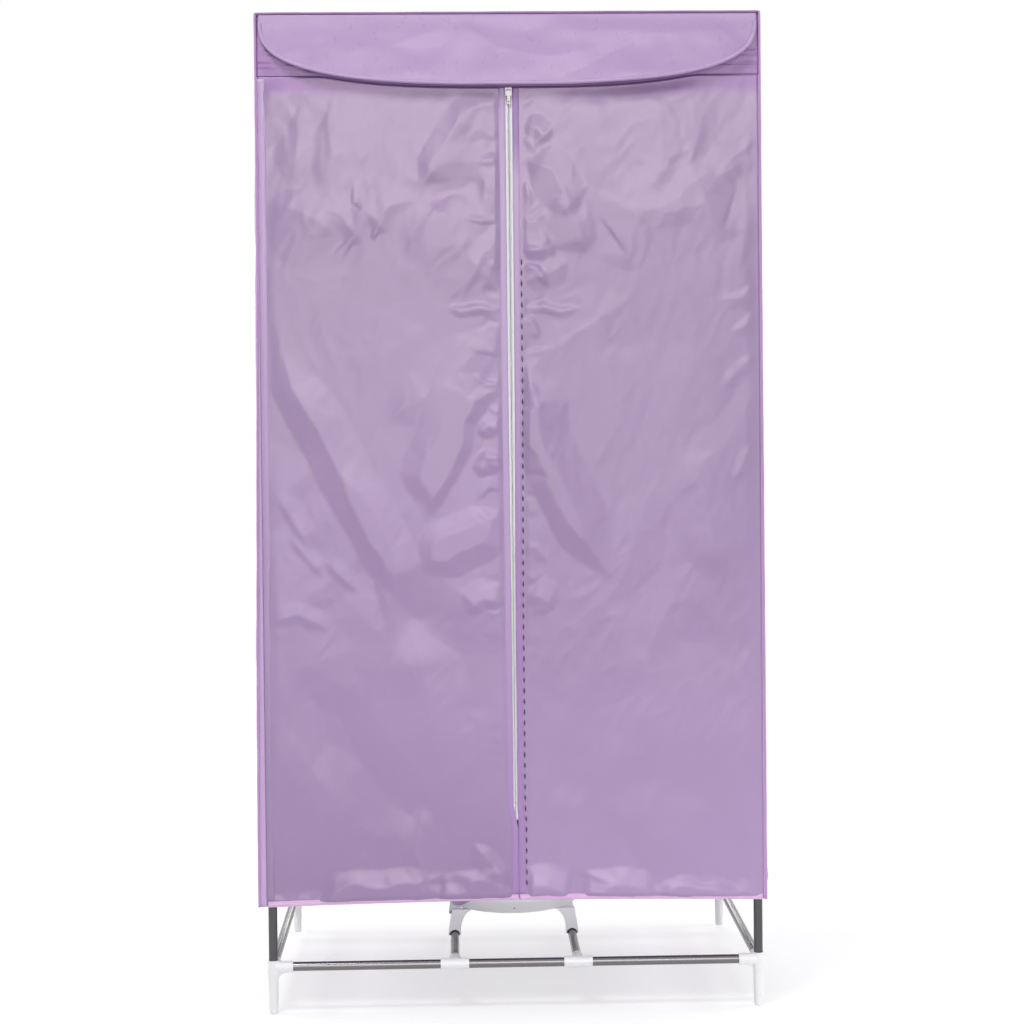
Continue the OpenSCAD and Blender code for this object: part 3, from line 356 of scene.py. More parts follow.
def finish(name, color, roughness, metallic=0.0, vary=0.06, grain=900.0, grain_depth=0.00002, coat=0.0,
           streaks=(1, 1, 1)):
    """A moulded, painted or metal finish with uneven colour, uneven gloss and a fine grain."""
    material, tree, shader = new_material(name)
    place = scaled(tree, object_place(tree), streaks)
    broad, fine = noise_node(tree, place, 14.0, 4.0), noise_node(tree, place, grain, 2.0)
    wire(tree, shader, {
        "Base Color": mixed(tree, broad, shade(color, 1 - vary), shade(color, 1 + vary)),
        "Roughness": between(tree, broad, roughness * 0.82, roughness * 1.2),
        "Normal": bump(tree, fine, 0.35, grain_depth),
        "Metallic": metallic,
        "Coat Weight": coat,
        "Coat Roughness": 0.12,
    })
    return material


def weave_height(tree, place, pitch):
    """Plain weave: two sets of threads that cross."""
    parts = {"Vector": place, "Scale": WAVE_PERIOD / pitch, "Distortion": 0.3}
    threads = (add_node(tree, "ShaderNodeTexWave", "Fac", parts, wave_type="BANDS", bands_direction=axis)
               for axis in ("X", "Z"))
    return combined(tree, "MULTIPLY", *threads)


def painted_light_by_height(tree, place, stops):
    """Painted light and shade: colour that changes up the object, from (height, colour) stops."""
    up = add_node(tree, "ShaderNodeSeparateXYZ", "Z", {0: place})
    ramp = tree.nodes.new("ShaderNodeValToRGB")
    wire(tree, ramp, {"Fac": between(tree, up, 0, 1, (0, ROOF))})
    while len(ramp.color_ramp.elements) < len(stops):
        ramp.color_ramp.elements.new(0.5)
    for element, (height, color) in zip(ramp.color_ramp.elements, stops):
        element.position, element.color = height / ROOF, (*color, 1)
    return ramp.outputs["Color"]


def fabric(name, color, roughness=0.4, pitch=0.0006, creases=0.0006, sheen=0.15, stops=None):
    """Coated polyester: a weave, small creases, uneven dye and a soft sheen, with light and shade painted up
    the object where stops are given.
    """
    material, tree, shader = new_material(name)
    place = object_place(tree)
    broad, small = noise_node(tree, place, 5.0), noise_node(tree, place, 90.0)
    plain = painted_light_by_height(tree, place, stops) if stops else (*color, 1)
    dye = mixed(tree, broad, shade((1, 1, 1), 1 - DYE_VARIES), shade((1, 1, 1), 1 + DYE_VARIES))
    threads = bump(tree, weave_height(tree, place, pitch), 0.35, THREAD_DEPTH)
    wire(tree, shader, {
        "Base Color": mixed(tree, 1.0, plain, dye, "MULTIPLY"),
        "Roughness": between(tree, small, roughness * 0.88, roughness * 1.14),
        "Normal": bump(tree, noise_node(tree, place, CREASE_SCALE, 2.0, 0.45), 0.5, creases * 0.35, threads),
        "Sheen Weight": sheen,
        "Sheen Roughness": 0.45,
    })
    return material


# The second lilac, used high up, is a little less blue: painted sheen.
LILAC, LILAC_PAINTED_SHEEN = (0.42, 0.292, 0.508), (0.42, 0.297, 0.498)
# Painted shade: a deep purple for the shadow under the flap, a duller lilac for the right door's middle and
# a darker lilac low down.
LILAC_FLAP_SHADOW, LILAC_RIGHT_SHADE, LILAC_SHADED = (0.37, 0.20, 0.48), (0.39, 0.27, 0.47), (0.345, 0.235, 0.42)
FLAP_LILAC, HEM_PINK = (0.48, 0.325, 0.58), (0.76, 0.49, 0.76)
TRIM, ROOF_TRIM = (0.55, 0.29, 0.62), (0.33, 0.165, 0.41)
# The facings' lighter colour is painted sheen; the darker ones are painted shade low down and painted shadow
# under the flap.
FACING, FACING_PAINTED_SHEEN = (0.52, 0.365, 0.62), (0.56, 0.412, 0.665)
FACING_PAINTED_SHADE, FACING_FLAP_SHADOW = (0.40, 0.24, 0.515), (0.37, 0.215, 0.49)
CORNER, ZIP_WHITE = (0.57, 0.405, 0.67), (0.95, 0.96, 0.97)

# (height, colour) stops that paint light and shade up the cloth: sheen high up, the flap's shadow at the
# tops of the doors and the right facing, and darker shade low down and in the right door's middle
COVER_SHEEN_STOPS = ((0.70, LILAC), (1.15, LILAC_PAINTED_SHEEN))
FLAP_SHADOW_STOPS = ((1.282, LILAC_PAINTED_SHEEN), (1.296, LILAC_FLAP_SHADOW))
# The left door darkens towards its foot: painted shade.
LEFT_DOOR_STOPS = ((0.16, LILAC_SHADED), (0.42, LILAC), *COVER_SHEEN_STOPS, *FLAP_SHADOW_STOPS)
# The right door is a little darker in its middle: painted shade.
RIGHT_DOOR_STOPS = ((0.42, LILAC), (0.66, LILAC_RIGHT_SHADE), (0.98, LILAC_RIGHT_SHADE), (1.15, LILAC_PAINTED_SHEEN), *FLAP_SHADOW_STOPS)
# Facing stops: painted shade low down, painted sheen higher up and, at the top of the right one, painted
# shadow under the flap.
LEFT_FACING_STOPS = ((0.20, FACING_PAINTED_SHADE), (0.62, FACING), (0.95, FACING_PAINTED_SHEEN), (1.20, FACING_PAINTED_SHEEN),
                     (1.28, FACING))
RIGHT_FACING_STOPS = ((0.20, FACING_PAINTED_SHADE), (0.62, FACING_PAINTED_SHADE), (0.95, FACING), (1.17, FACING_PAINTED_SHEEN),
                      (1.22, FACING_FLAP_SHADOW))
# The hinge band darkens towards its foot: painted shade.
BAND_STOPS = ((0.18, LILAC_SHADED), (0.45, LILAC), (0.80, FACING), (1.05, CORNER))

PANEL = {"roughness": 0.22, "creases": 0.0002}
STRIP = {"roughness": 0.45, "creases": 0.0003}
BINDING = {"roughness": 0.5, "pitch": 0.0009, "creases": 0.0002, "sheen": 0.3}

CLOTH_LOOK = fabric("cover_cloth", LILAC, stops=COVER_SHEEN_STOPS, **PANEL)
LEFT_DOOR_LOOK = fabric("left_door_cloth", LILAC, stops=LEFT_DOOR_STOPS, **PANEL)
RIGHT_DOOR_LOOK = fabric("right_door_cloth", LILAC, stops=RIGHT_DOOR_STOPS, **PANEL)
# The header, under the flap, is coloured with the purple of its shadow: painted shadow.
HEADER_LOOK = fabric("header_cloth", LILAC_FLAP_SHADOW, roughness=0.3, creases=0.0002)
FLAP_LOOK = fabric("flap_cloth", FLAP_LILAC, roughness=0.30, creases=0.0001)
TRIM_LOOK = fabric("trim_cloth", TRIM, **BINDING)
HEM_LOOK = fabric("hem_cloth", HEM_PINK, **BINDING)
ROOF_TRIM_LOOK = fabric("roof_trim", ROOF_TRIM, **BINDING)
FACING_LOOK = fabric("facing_cloth", FACING, **STRIP)
LEFT_FACING_LOOK = fabric("left_facing_cloth", FACING, stops=LEFT_FACING_STOPS, **STRIP)
RIGHT_FACING_LOOK = fabric("right_facing_cloth", FACING, stops=RIGHT_FACING_STOPS, **STRIP)
CORNER_LOOK = fabric("corner_cloth", CORNER, creases=0.0003)
BAND_LOOK = fabric("hinge_band_cloth", CORNER, creases=0.0003, stops=BAND_STOPS)
TAPE_LOOK = fabric("zip_tape", ZIP_WHITE, roughness=0.6, pitch=0.0008, creases=0.0001, sheen=0.1)
COIL_LOOK = finish("zip_coil", ZIP_WHITE, 0.35, vary=0.02)
# Near-black stitches that draw the dashes beside the right facing: painted shadow of the gaps at its seam.
SEAM_SHADOW_LOOK = finish("painted_seam_shadow", (0.13, 0.07, 0.17), 0.7, vary=0.2, grain=3000)
THREAD_LOOK = finish("thread", (0.40, 0.26, 0.47), 0.7, vary=0.1, grain=3000)

LOOKS = {
    "frame_tube": finish("frame_tube", (0.100, 0.097, 0.104), 0.22, metallic=0.85, vary=0.08, grain=1500,
                         grain_depth=0.000006),
    # A lighter copy of the tube steel, streaked along its length, for the bottom rails: painted reflection
    # on the same steel.
    "rail_tube_painted_reflection": finish("rail_tube_painted_reflection", (0.185, 0.18, 0.19), 0.17, metallic=0.85, vary=0.08, grain=900,
                        streaks=(0.02, 1, 1)),
    "connector": finish("connector_plastic", (0.86, 0.865, 0.88), 0.34, vary=0.015, grain=420,
                        grain_depth=0.00004),
    "cover_cloth": CLOTH_LOOK,
    "trim_cloth": TRIM_LOOK,
    "zip_tape": TAPE_LOOK,
    # Dark slider metal: partly its own grey, partly painted shade for the flap's shadow over it.
    "zip_metal": finish("zip_metal", (0.24, 0.24, 0.255), 0.34, metallic=1.0, vary=0.05, grain=2500),
    "heater_shell": finish("heater_plastic", (0.91, 0.915, 0.94), 0.42, vary=0.015, grain=700,
                           grain_depth=0.00004),
    "rubber": finish("rubber", (0.018, 0.018, 0.02), 0.75, vary=0.2, grain=1800),
    "grille": finish("grille", (0.26, 0.27, 0.29), 0.5, vary=0.05),
    "sheet_metal": finish("sheet_metal", (0.62, 0.63, 0.64), 0.35, metallic=1.0, streaks=(30, 1, 1)),
    "dark_plastic": finish("dark_plastic", (0.03, 0.03, 0.033), 0.55, vary=0.15),
    "ptc_ceramic": finish("ptc_ceramic", (0.12, 0.085, 0.06), 0.8, vary=0.15),
    "fan_plastic": finish("fan_plastic", (0.66, 0.68, 0.70), 0.4, vary=0.02),
    "bright_steel": finish("bright_steel", (0.56, 0.56, 0.57), 0.28, metallic=1.0, vary=0.05, grain=2500),
    "motor_can": finish("motor_can", (0.25, 0.26, 0.28), 0.4, metallic=0.6, vary=0.08),
    "button_plastic": finish("button_plastic", (0.45, 0.03, 0.022), 0.3, vary=0.05),
    "lens": finish("lens", (0.62, 0.50, 0.38), 0.12, vary=0.05, coat=0.6),
}
# Rails that take the lighter, streaked copy of the tube steel: painted reflection.
RAILS_PAINTED_LIGHTER = ("bottom_front_rail", "bottom_rear_rail")


def dress_nodes():
    for node_name, node in frame["nodes"].items():
        for slot in node.material_slots:
            name = slot.material.name.split(".")[0] if slot.material else ""
            if name == "frame_tube" and node_name in RAILS_PAINTED_LIGHTER:
                name = "rail_tube_painted_reflection"
            if name in LOOKS:
                slot.material = LOOKS[name]


dress_nodes()

# ------------------ Shape of the cover

LEFT_FLARE, RIGHT_FLARE, REAR_FLARE = 0.0085, 0.0012, 0.003
FLARE_FROM = 1.15
HEM_RISE = 0.0048
# How far each door's edge stands from the middle, at these heights from the hem up
EDGE_Z = (HEM_LOW, ZIP_LOW - 0.012, ZIP_LOW + 0.02, 0.58, 0.86, ZIP_TOP)
LEFT_EDGE = (0.0040, 0.0040, -0.0024, -0.0028, -0.0042, -0.0048)
RIGHT_EDGE = (0.0043, 0.0043, 0.0030, 0.0030, 0.0046, 0.0050)


def flare(z, amount):
    """How far the cover spreads at a height: amount at the hem, nothing above FLARE_FROM."""
    return amount * smooth((FLARE_FROM - z) / (FLARE_FROM - HEM_LOW)) ** 0.8


def front_flare(z, side):
    return flare(z, pick(side, LEFT_FLARE, RIGHT_FLARE))


def hem_line(x):
    """Height of the doors' lower edge: the zip draws it up in the middle."""
    return HEM_LOW + HEM_RISE * (1 - (x / SIDE) ** 2)


def cad_top(side, x):
    """Height of a CAD door's top edge at x, read from the door's own top row."""
    door = frame["nodes"][pick(side, "door_left_panel", "door_right_panel")]
    points = np.array([v.co for v in door.data.vertices])
    columns = np.unique(points[:, 0].round(5))
    tops = [points[np.abs(points[:, 0] - c) < 1e-4, 2].max() for c in columns]
    return np.interp(x, columns, tops)


def zip_edge(z, side):
    return np.interp(z, EDGE_Z, pick(side, LEFT_EDGE, RIGHT_EDGE))


# ------------------ Doors

# Folds that show in the photo: path of (x, z), reach to its right, height, the left reach's share
# and, where it isn't fold's own, the share of the path over which each end tapers
LEFT_FOLDS = [
    ([(-0.056, 1.288), (-0.072, 1.245), (-0.124, 1.150)], 0.026, 0.0068, 2.1),
    ([(-0.128, 1.157), (-0.070, 1.166), (-0.020, 1.160)], 0.050, -0.0036, 0.5),
    ([(-0.134, 1.142), (-0.118, 1.115), (-0.076, 1.076), (-0.048, 1.048),
      (-0.008, 1.012)], 0.060, 0.0062, 1.0),
    ([(-0.125, 1.142), (-0.172, 1.128), (-0.180, 1.108), (-0.200, 1.122), (-0.215, 1.092), (-0.240, 1.122),
      (-0.268, 1.130)], 0.050, 0.0040, 0.35),
    ([(-0.232, 1.085), (-0.285, 1.122), (-0.338, 1.140)], 0.030, 0.0048, 2.4),
    ([(-0.095, 0.992), (-0.070, 0.984), (-0.045, 0.988), (-0.010, 0.983)], 0.011, 0.0024, 0.8),
    ([(-0.006, 0.884), (-0.050, 0.858), (-0.072, 0.835), (-0.079, 0.800), (-0.105, 0.750), (-0.118, 0.690)],
     0.056, 0.0076, 0.45),
    ([(-0.010, 0.965), (-0.060, 0.915), (-0.110, 0.868), (-0.190, 0.830)], 0.040, 0.0030, 0.9),
    ([(-0.008, 0.700), (-0.050, 0.674), (-0.092, 0.655), (-0.130, 0.620)], 0.040, 0.0066, 1.1),
    ([(-0.010, 0.574), (-0.042, 0.581), (-0.066, 0.560)], 0.030, 0.0042, 0.4),
    ([(-0.010, 0.818), (-0.034, 0.824), (-0.050, 0.808)], 0.016, 0.0030, 0.9),
    ([(-0.010, 0.762), (-0.036, 0.775), (-0.046, 0.750)], 0.018, 0.0034, 0.9),
    ([(-0.332, 0.985), (-0.305, 0.878), (-0.269, 0.820), (-0.236, 0.750), (-0.197, 0.683), (-0.167, 0.620),
      (-0.165, 0.500)], 0.034, 0.0062, 1.3),
    ([(-0.250, 0.800), (-0.225, 0.730), (-0.180, 0.650), (-0.172, 0.480)], 0.085, 0.0030, 0.5),
    ([(-0.330, 0.735), (-0.303, 0.690), (-0.280, 0.650)], 0.010, 0.0016, 2.2),
    ([(-0.312, 0.672), (-0.285, 0.640), (-0.262, 0.612)], 0.008, 0.0012, 2.0),
    ([(-0.264, 0.640), (-0.240, 0.615), (-0.215, 0.592)], 0.009, 0.0014, 2.0),
    ([(-0.345, 0.552), (-0.300, 0.562), (-0.255, 0.540)], 0.012, 0.0018, 1.6),
    ([(-0.116, 0.162), (-0.150, 0.170), (-0.185, 0.164), (-0.225, 0.166),
      (-0.275, 0.160)], 0.038, 0.0088, 0.35, 0.16),
    ([(-0.006, 0.166), (-0.040, 0.170), (-0.066, 0.164), (-0.112, 0.161)], 0.036, 0.0086, 0.35, 0.16),
    ([(-0.125, 0.300), (-0.140, 0.230), (-0.128, 0.175)], 0.022, 0.0030, 0.9),
    ([(-0.060, 0.240), (-0.030, 0.205), (-0.010, 0.180)], 0.020, 0.0040, 0.7),
    ([(-0.150, 0.560), (-0.120, 0.450), (-0.110, 0.330)], 0.050, 0.0032, 1.2),
    ([(-0.310, 0.490), (-0.246, 0.392), (-0.190, 0.322), (-0.112, 0.240)], 0.060, -0.0046, 0.9),
    ([(-0.240, 1.290), (-0.247, 1.200), (-0.262, 1.150)], 0.026, 0.0020, 0.8),
    ([(-0.290, 1.288), (-0.296, 1.200), (-0.300, 1.155)], 0.030, 0.0022, 0.7),
]
RIGHT_FOLDS = [
    ([(0.018, 1.242), (0.038, 1.238), (0.058, 1.218)], 0.022, 0.0042, 0.9),
    ([(0.018, 1.196), (0.058, 1.180), (0.075, 1.150), (0.088, 1.112)], 0.036, 0.0064, 0.9),
    ([(0.060, 1.146), (0.093, 1.104), (0.106, 1.058)], 0.042, 0.0050, 0.6),
    ([(0.012, 1.066), (0.040, 1.074), (0.064, 1.088)], 0.022, 0.0042, 1.7),
    ([(0.012, 1.024), (0.050, 1.034), (0.084, 1.052)], 0.022, 0.0036, 1.5),
    ([(0.350, 1.101), (0.296, 1.094), (0.262, 1.127), (0.178, 1.122), (0.166, 1.058), (0.104, 1.067)],
     0.060, 0.0044, 0.45),
    ([(0.010, 0.988), (0.045, 0.990), (0.070, 0.982), (0.100, 0.988)], 0.011, 0.0022, 0.8),
    ([(0.014, 0.930), (0.034, 0.850), (0.026, 0.815), (0.045, 0.775), (0.070, 0.719), (0.093, 0.670),
      (0.145, 0.600)], 0.032, 0.0082, 1.6),
    ([(0.250, 0.800), (0.275, 0.700), (0.292, 0.590)], 0.045, 0.0036, 1.5),
    ([(0.352, 1.186), (0.325, 1.186), (0.285, 1.164)], 0.011, 0.0015, 1.6),
    ([(0.352, 1.020), (0.325, 1.000), (0.290, 0.994)], 0.010, 0.0018, 1.6),
    ([(0.352, 0.985), (0.330, 0.960), (0.305, 0.950)], 0.010, 0.0016, 1.4),
    ([(0.352, 0.918), (0.325, 0.905), (0.292, 0.872)], 0.011, 0.0016, 1.6),
    ([(0.352, 0.800), (0.328, 0.780), (0.310, 0.740)], 0.010, 0.0015, 1.6),
    ([(0.078, 0.164), (0.045, 0.172), (0.006, 0.166)], 0.038, 0.0088, 0.35, 0.18),
    ([(0.200, 0.162), (0.150, 0.168), (0.086, 0.164)], 0.034, 0.0086, 0.35, 0.18),
    ([(0.325, 0.159), (0.260, 0.162), (0.190, 0.166)], 0.026, 0.0062, 0.5),
    ([(0.075, 0.330), (0.062, 0.250), (0.066, 0.180)], 0.030, 0.0026, 1.2),
    ([(0.118, 1.290), (0.134, 1.210), (0.160, 1.140)], 0.040, 0.0024, 0.7),
    ([(0.205, 1.290), (0.214, 1.200), (0.200, 1.140)], 0.040, 0.0024, 0.7),
    ([(0.020, 0.590), (0.040, 0.580), (0.060, 0.570)], 0.020, 0.0030, 1.6),
    ([(0.120, 0.300), (0.200, 0.240), (0.300, 0.200)], 0.060, 0.0030, 1.2),
]
LEFT_SEED, RIGHT_SEED = 21, 57
FOLD_EASE, EASED_FROM = 0.20, 0.95  # the folds lose this share of their height above this one
BASE_LIFT = 0.0016
LIFT_LOW, LIFT_HIGH = -0.0024, 0.0080
PUCKER_COUNT, PUCKER_LOW, PUCKER_HIGH = 26, 0.30, 1.27
HEM_CRUMPLE_HIGH = 0.060
DOOR_STEP = 0.0028
FACING_W, FACING_RISE = 0.0096, 0.009
SEAM_FLAT = 0.0040  # flat cloth beside the right door's facing
# Height up to which the dashes of painted seam shadow run
SEAM_SHADOW_TO = 1.075
HINGE_BAND = 0.0105
TAPE_FOLD = 0.0005


def puckers(x, z, side, seed):
    """Short wedges that the tight zip seam draws out of the cloth beside it."""
    rng = np.random.default_rng(seed)
    total = np.zeros(x.shape)
    root = side * (abs(zip_edge(0.9, side)) + FACING_W)
    for z0 in np.linspace(PUCKER_LOW, PUCKER_HIGH, PUCKER_COUNT):
        z0 = z0 + rng.uniform(-0.010, 0.010)
        strength = 0.25 + 0.75 * smooth((z0 - 0.45) / 0.45)
        length = rng.uniform(0.016, 0.052) * (0.6 + 0.4 * strength)
        drop = rng.uniform(-0.020, 0.034)
        height = rng.uniform(0.0005, 0.0024) * strength * rng.choice([1, 1, -0.7])
        middle = (root + side * length * 0.5, z0 + rng.uniform(-0.004, 0.006))
        path = [(root - side * 0.004, z0), middle, (root + side * length, z0 - drop)]
        total += fold(x, z, path, rng.uniform(0.007, 0.015), height, rng.uniform(0.35, 0.8), 0.34)
    return total


def hem_crumple(x, z, seed):
    """Gathered cloth just above a hem."""
    high = smooth((HEM_LOW + HEM_CRUMPLE_HIGH - z) / (HEM_CRUMPLE_HIGH * 0.8))
    gathers = 0.0056 * facets(x, z, 0.046, seed, stretch=0.5)
    return high * (gathers + 0.0010 * facets(x, z, 0.018, seed + 1, 0.4, 0.8))


def door_relief(x, z, side):
    """The photo's folds, then broad and small facets that are stronger high up, fine vertical
    streaks, the zip's puckers and the hem's gathers."""
    folds, seed = pick(side, (LEFT_FOLDS, LEFT_SEED), (RIGHT_FOLDS, RIGHT_SEED))
    shown = (1 - FOLD_EASE * smooth((z - EASED_FROM) / 0.1)) * sum(fold(x, z, *f) for f in folds)
    busy = 0.85 + 0.25 * smooth(0.5 + 0.9 * noise(x * 5, z * 4, seed + 3))
    high = 1 + 0.45 * smooth((z - 0.90) / 0.15)
    broad = 0.0024 * facets(x, z, 0.105, seed, 0.3)
    small = 0.0012 * facets(x, z, 0.048, seed + 1, -0.4) + 0.00016 * crumple(x, z, 0.026, seed + 2, -0.3)
    streaks = smooth(0.2 + 1.3 * noise(x * 9, z * 6, seed + 7)) * smooth((z - 0.62) / 0.2)
    total = shown + BASE_LIFT + busy * high * (broad + small)
    total = total + 0.0007 * streaks * facets(x, z, 0.020, seed + 8, 0.25, 2.4)
    return total + puckers(x, z, side, seed) + hem_crumple(x, z, seed + 5)


def door_calm(x, z, side, top):
    """Falls to 0 at the seams, where the cloth is held flat."""
    inner = np.abs(x - zip_edge(z, side))
    flat_to = FACING_W * 0.8 + pick(side, 0, SEAM_FLAT)
    return (smooth((DOOR_SIDE - np.abs(x)) / 0.022) * smooth((inner - flat_to) / 0.008)
            * smooth((top - z) / 0.03) * smooth((z - hem_line(x) - 0.002) / 0.007))


def door_points(side):
    """The door's grid. Its top depends on x and its inner edge on z, so both are found in turns."""
    s, t = grid(int(DOOR_SIDE / DOOR_STEP), int((DOOR_HIGH - HEM_LOW) / DOOR_STEP))
    outer = side * DOOR_SIDE
    x = outer * (1 - s)
    for _ in range(3):
        top = cad_top(side, np.clip(np.abs(x), 0, DOOR_SIDE) * side)
        z = hem_line(x) + HEM_LIFT + (top - hem_line(x) - HEM_LIFT) * t
        x = outer + (zip_edge(z, side) - outer) * s
    lift = door_relief(x, z, side) * door_calm(x, z, side, top)
    return points_at(x, FRONT - np.clip(lift, LIFT_LOW, LIFT_HIGH), z)


def make_door(side):
    name = pick(side, "door_left", "door_right")
    look = pick(side, LEFT_DOOR_LOOK, RIGHT_DOOR_LOOK)
    piece = cloth(name + "_cloth", door_points(side), look, name, [name + "_panel"], flip=side > 0)
    hem = door_hem(side, name)
    strips = facing(side, name)


def folded_section(high, gap):
    """U section that wraps an edge: side is up, face is out."""
    a, b = gap / 2, gap / 2 + TAPE_FOLD
    return [(high, a), (TAPE_FOLD, a), (TAPE_FOLD, -a), (high, -a), (high, -b), (0.0002, -b), (-0.0002, 0),
            (0.0002, b), (high, b)]


HEM_SECTION = folded_section(HEM_TOP - HEM_LOW, 0.0012)


def door_hem(side, name):
    x = np.linspace(side * (DOOR_SIDE - 0.0012), pick(side, 0.0036, 0.0052), 120)
    path = points_at(x, FRONT - 0.0005 * wobble(x * 40, pick(side, 5, 6)), hem_line(x) - 0.0004)
    piece = sweep(name + "_hem_tape", path, HEM_SECTION, UP, FORWARD, HEM_LOOK, name, [name + "_hem"])
    stitches(name + "_hem_stitches", path + np.array([0, -0.0012, 0.0062]), THREAD_LOOK, name)
    return piece


def facing(side, name):
    """The door's turned-over edge beside the zip: a flat strip with a row of stitches at each side, its
    colour painted lighter and darker up the strip for light and shade.
    The right one has a row of dark dashes beside it, painted shadow of the gaps at its seam, and the left
    door a band at its hinge."""
    z = np.linspace(hem_line(0) + FACING_RISE, cad_top(side, side * 0.006) - 0.0004, 420)
    half = FACING_W / 2
    x = zip_edge(z, side) + side * half + 0.0004 * wobble(z * 35, 8 + side)
    path = points_at(x, FRONT - 0.0001 - 0.0001 * np.abs(wobble(z * 70, 3 + side)), z)
    section = [(-half, 0.0002), (-half + 0.0004, 0.0005), (0, 0.0007), (half - 0.0006, 0.0005),
               (half, 0.0001), (half, -0.0005), (-half, -0.0005)]
    look = pick(side, LEFT_FACING_LOOK, RIGHT_FACING_LOOK)
    pieces = [sweep(name + "_facing", path, section, ACROSS, FORWARD, look, name)]
    for k, share in enumerate((-0.72, 0.72)):
        row = path + np.array([share * half, -0.0006, 0])
        pieces.append(stitches(f"{name}_facing_stitches_{k}", row, THREAD_LOOK, name))
    if side < 0:
        return pieces + hinge_band(name)
    # Dark dashes beside the right facing, drawn as thick dark stitches: painted shadow of the gaps at its
    # seam.
    seam = path[path[:, 2] < SEAM_SHADOW_TO] + np.array([half + 0.0014, -0.0011, 0])
    return pieces + [stitches(name + "_seam_shadow_dashes", seam, SEAM_SHADOW_LOOK, name, 0.0150, 0.0118, 0.0013)]


def hinge_band(name):
    """The pale strip that backs the left door's hinge seam, painted darker towards its foot for shade, with
    a row of stitches at its free edge.
    """
    z = np.linspace(hem_line(-DOOR_SIDE) + FACING_RISE, cad_top(-1, -DOOR_SIDE) - 0.003, 300)
    half = HINGE_BAND / 2
    path = points_at(-DOOR_SIDE + half + 0.0004 * wobble(z * 30, 12), FRONT - 0.0004, z)
    section = [(-half, 0.0), (-half + 0.001, 0.0005), (0, 0.0010), (half - 0.0008, 0.0008), (half, 0.0002),
               (half, -0.0003), (-half, -0.0003)]
    strip = sweep(name + "_hinge_band", path, section, ACROSS, FORWARD, BAND_LOOK, name)
    row = path + np.array([half - 0.0022, -0.0009, 0])
    return [strip, stitches(name + "_hinge_stitches", row, THREAD_LOOK, name)]


make_door(-1)
make_door(1)

# ------------------ Header, flap

HEADER_STEP, HEADER_ROWS = 0.003, 56
HEADER_HALF = SIDE - 0.0012
TUCKS = ((1.3440, 0.0030, 0.0009), (1.3340, 0.0062, 0.0022), (1.3240, 0.0030, 0.0010))  # z, half width, lift
HEADER_LIFT_HIGH = 0.0008

FLAP_HANG, FLAP_END = 0.0022, 0.005
FLAP_POWER = 2.8
FLAP_DROP = ROOF - FLAP_HANG - FLAP_FOOT
FLAP_OFF, FLAP_LEAN = 0.0009, 0.0098
FLAP_COLUMNS, FLAP_ROWS = 260, 46


def make_header():
    s, t = grid(int(2 * HEADER_HALF / HEADER_STEP), HEADER_ROWS, start=-1)
    x = s * HEADER_HALF
    low = np.where(x < 0, cad_top(-1, x), cad_top(1, x)) + 0.0004
    z = low + (HEADER_TOP - low) * t
    out = 0.0004 * crumple(x, z, 0.04, 91, stretch=0.6)
    for height, width, lift in TUCKS:
        d = (z - height + 0.0012 * np.sign(x)) / width
        out = out + lift * np.clip(1 - np.abs(d), 0, 1)
    out = np.minimum(out * smooth((z - low) / 0.006) * smooth((HEADER_TOP - z) / 0.01), HEADER_LIFT_HIGH)
    points = points_at(x, HEADER_Y - out, z)
    piece = cloth("header_cloth", points, HEADER_LOOK, "root", ["cover_header"], flip=True)


def flap_edge(u):
    """The flap's outline at a share u of its width: across, and down from its seam."""
    x = FLAP_HALF * np.sin(np.pi * (u - 0.5))
    round_share = np.clip(1 - np.abs(x / FLAP_HALF) ** FLAP_POWER, 0, 1) ** (1 / 3)
    return x, FLAP_HANG + FLAP_END + (FLAP_DROP - FLAP_END) * round_share


def flap_out(x, down):
    """How far the flap stands off the doors: it leans out, waves at its edge and has soft dents."""
    share = smooth(down / (FLAP_DROP * 1.1))
    edge = smooth((down - 0.045) / 0.05)
    waves = 0.0010 * (1 + np.sin(x * 42 + 0.8)) + 0.0007 * noise(x * 16, down * 9, 41)
    soft = 0.0010 * noise(x * 9, down * 22, 44) + 0.0030 * facets(x, down, 0.085, 45, 0.4, 0.6)
    soft = soft + 0.0010 * noise(x * 24, down * 30, 46)
    return FLAP_OFF + FLAP_LEAN * share + waves * edge + np.maximum(soft, -0.0016) * smooth(down / 0.03)


def flap_tape():
    """Binding round the flap's free edge, and the stitches that hold it."""
    x, deep = flap_edge(np.linspace(0.004, 0.996, 420))
    path = points_at(x, FRONT - flap_out(x, deep), ROOF - deep)
    inward = unit(np.cross(unit(np.gradient(path, axis=0)), FORWARD))
    centre = np.array([0, 0, ROOF - 0.03])
    inward = inward * np.sign(((centre - path) * inward).sum(1, keepdims=True))
    tape = sweep("flap_edge_tape", path - inward * 0.0008, folded_section(0.0052, 0.0011), inward, FORWARD,
                 FACING_LOOK, "flap", ["flap_binding"])
    inner = path + inward * 0.0036
    inner[:, 1] = FRONT - flap_out(inner[:, 0], ROOF - inner[:, 2]) - 0.0011
    return [tape, stitches("flap_edge_stitches", inner, THREAD_LOOK, "flap")]


def make_flap():
    u, v = grid(FLAP_COLUMNS, FLAP_ROWS)
    x, deep = flap_edge(u)
    down = FLAP_HANG + (deep - FLAP_HANG) * v
    points = points_at(x, FRONT - flap_out(x, down), ROOF - down)
    piece = cloth("flap_cloth", points, FLAP_LOOK, "flap", ["front_flap"])
    flap_tape()


make_header()
make_flap()

# ------------------ Sides, back and roof

SIDE_STEP, BACK_STEP, ROOF_STEP = 0.005, 0.006, 0.006
ROOF_SAG = 0.0014


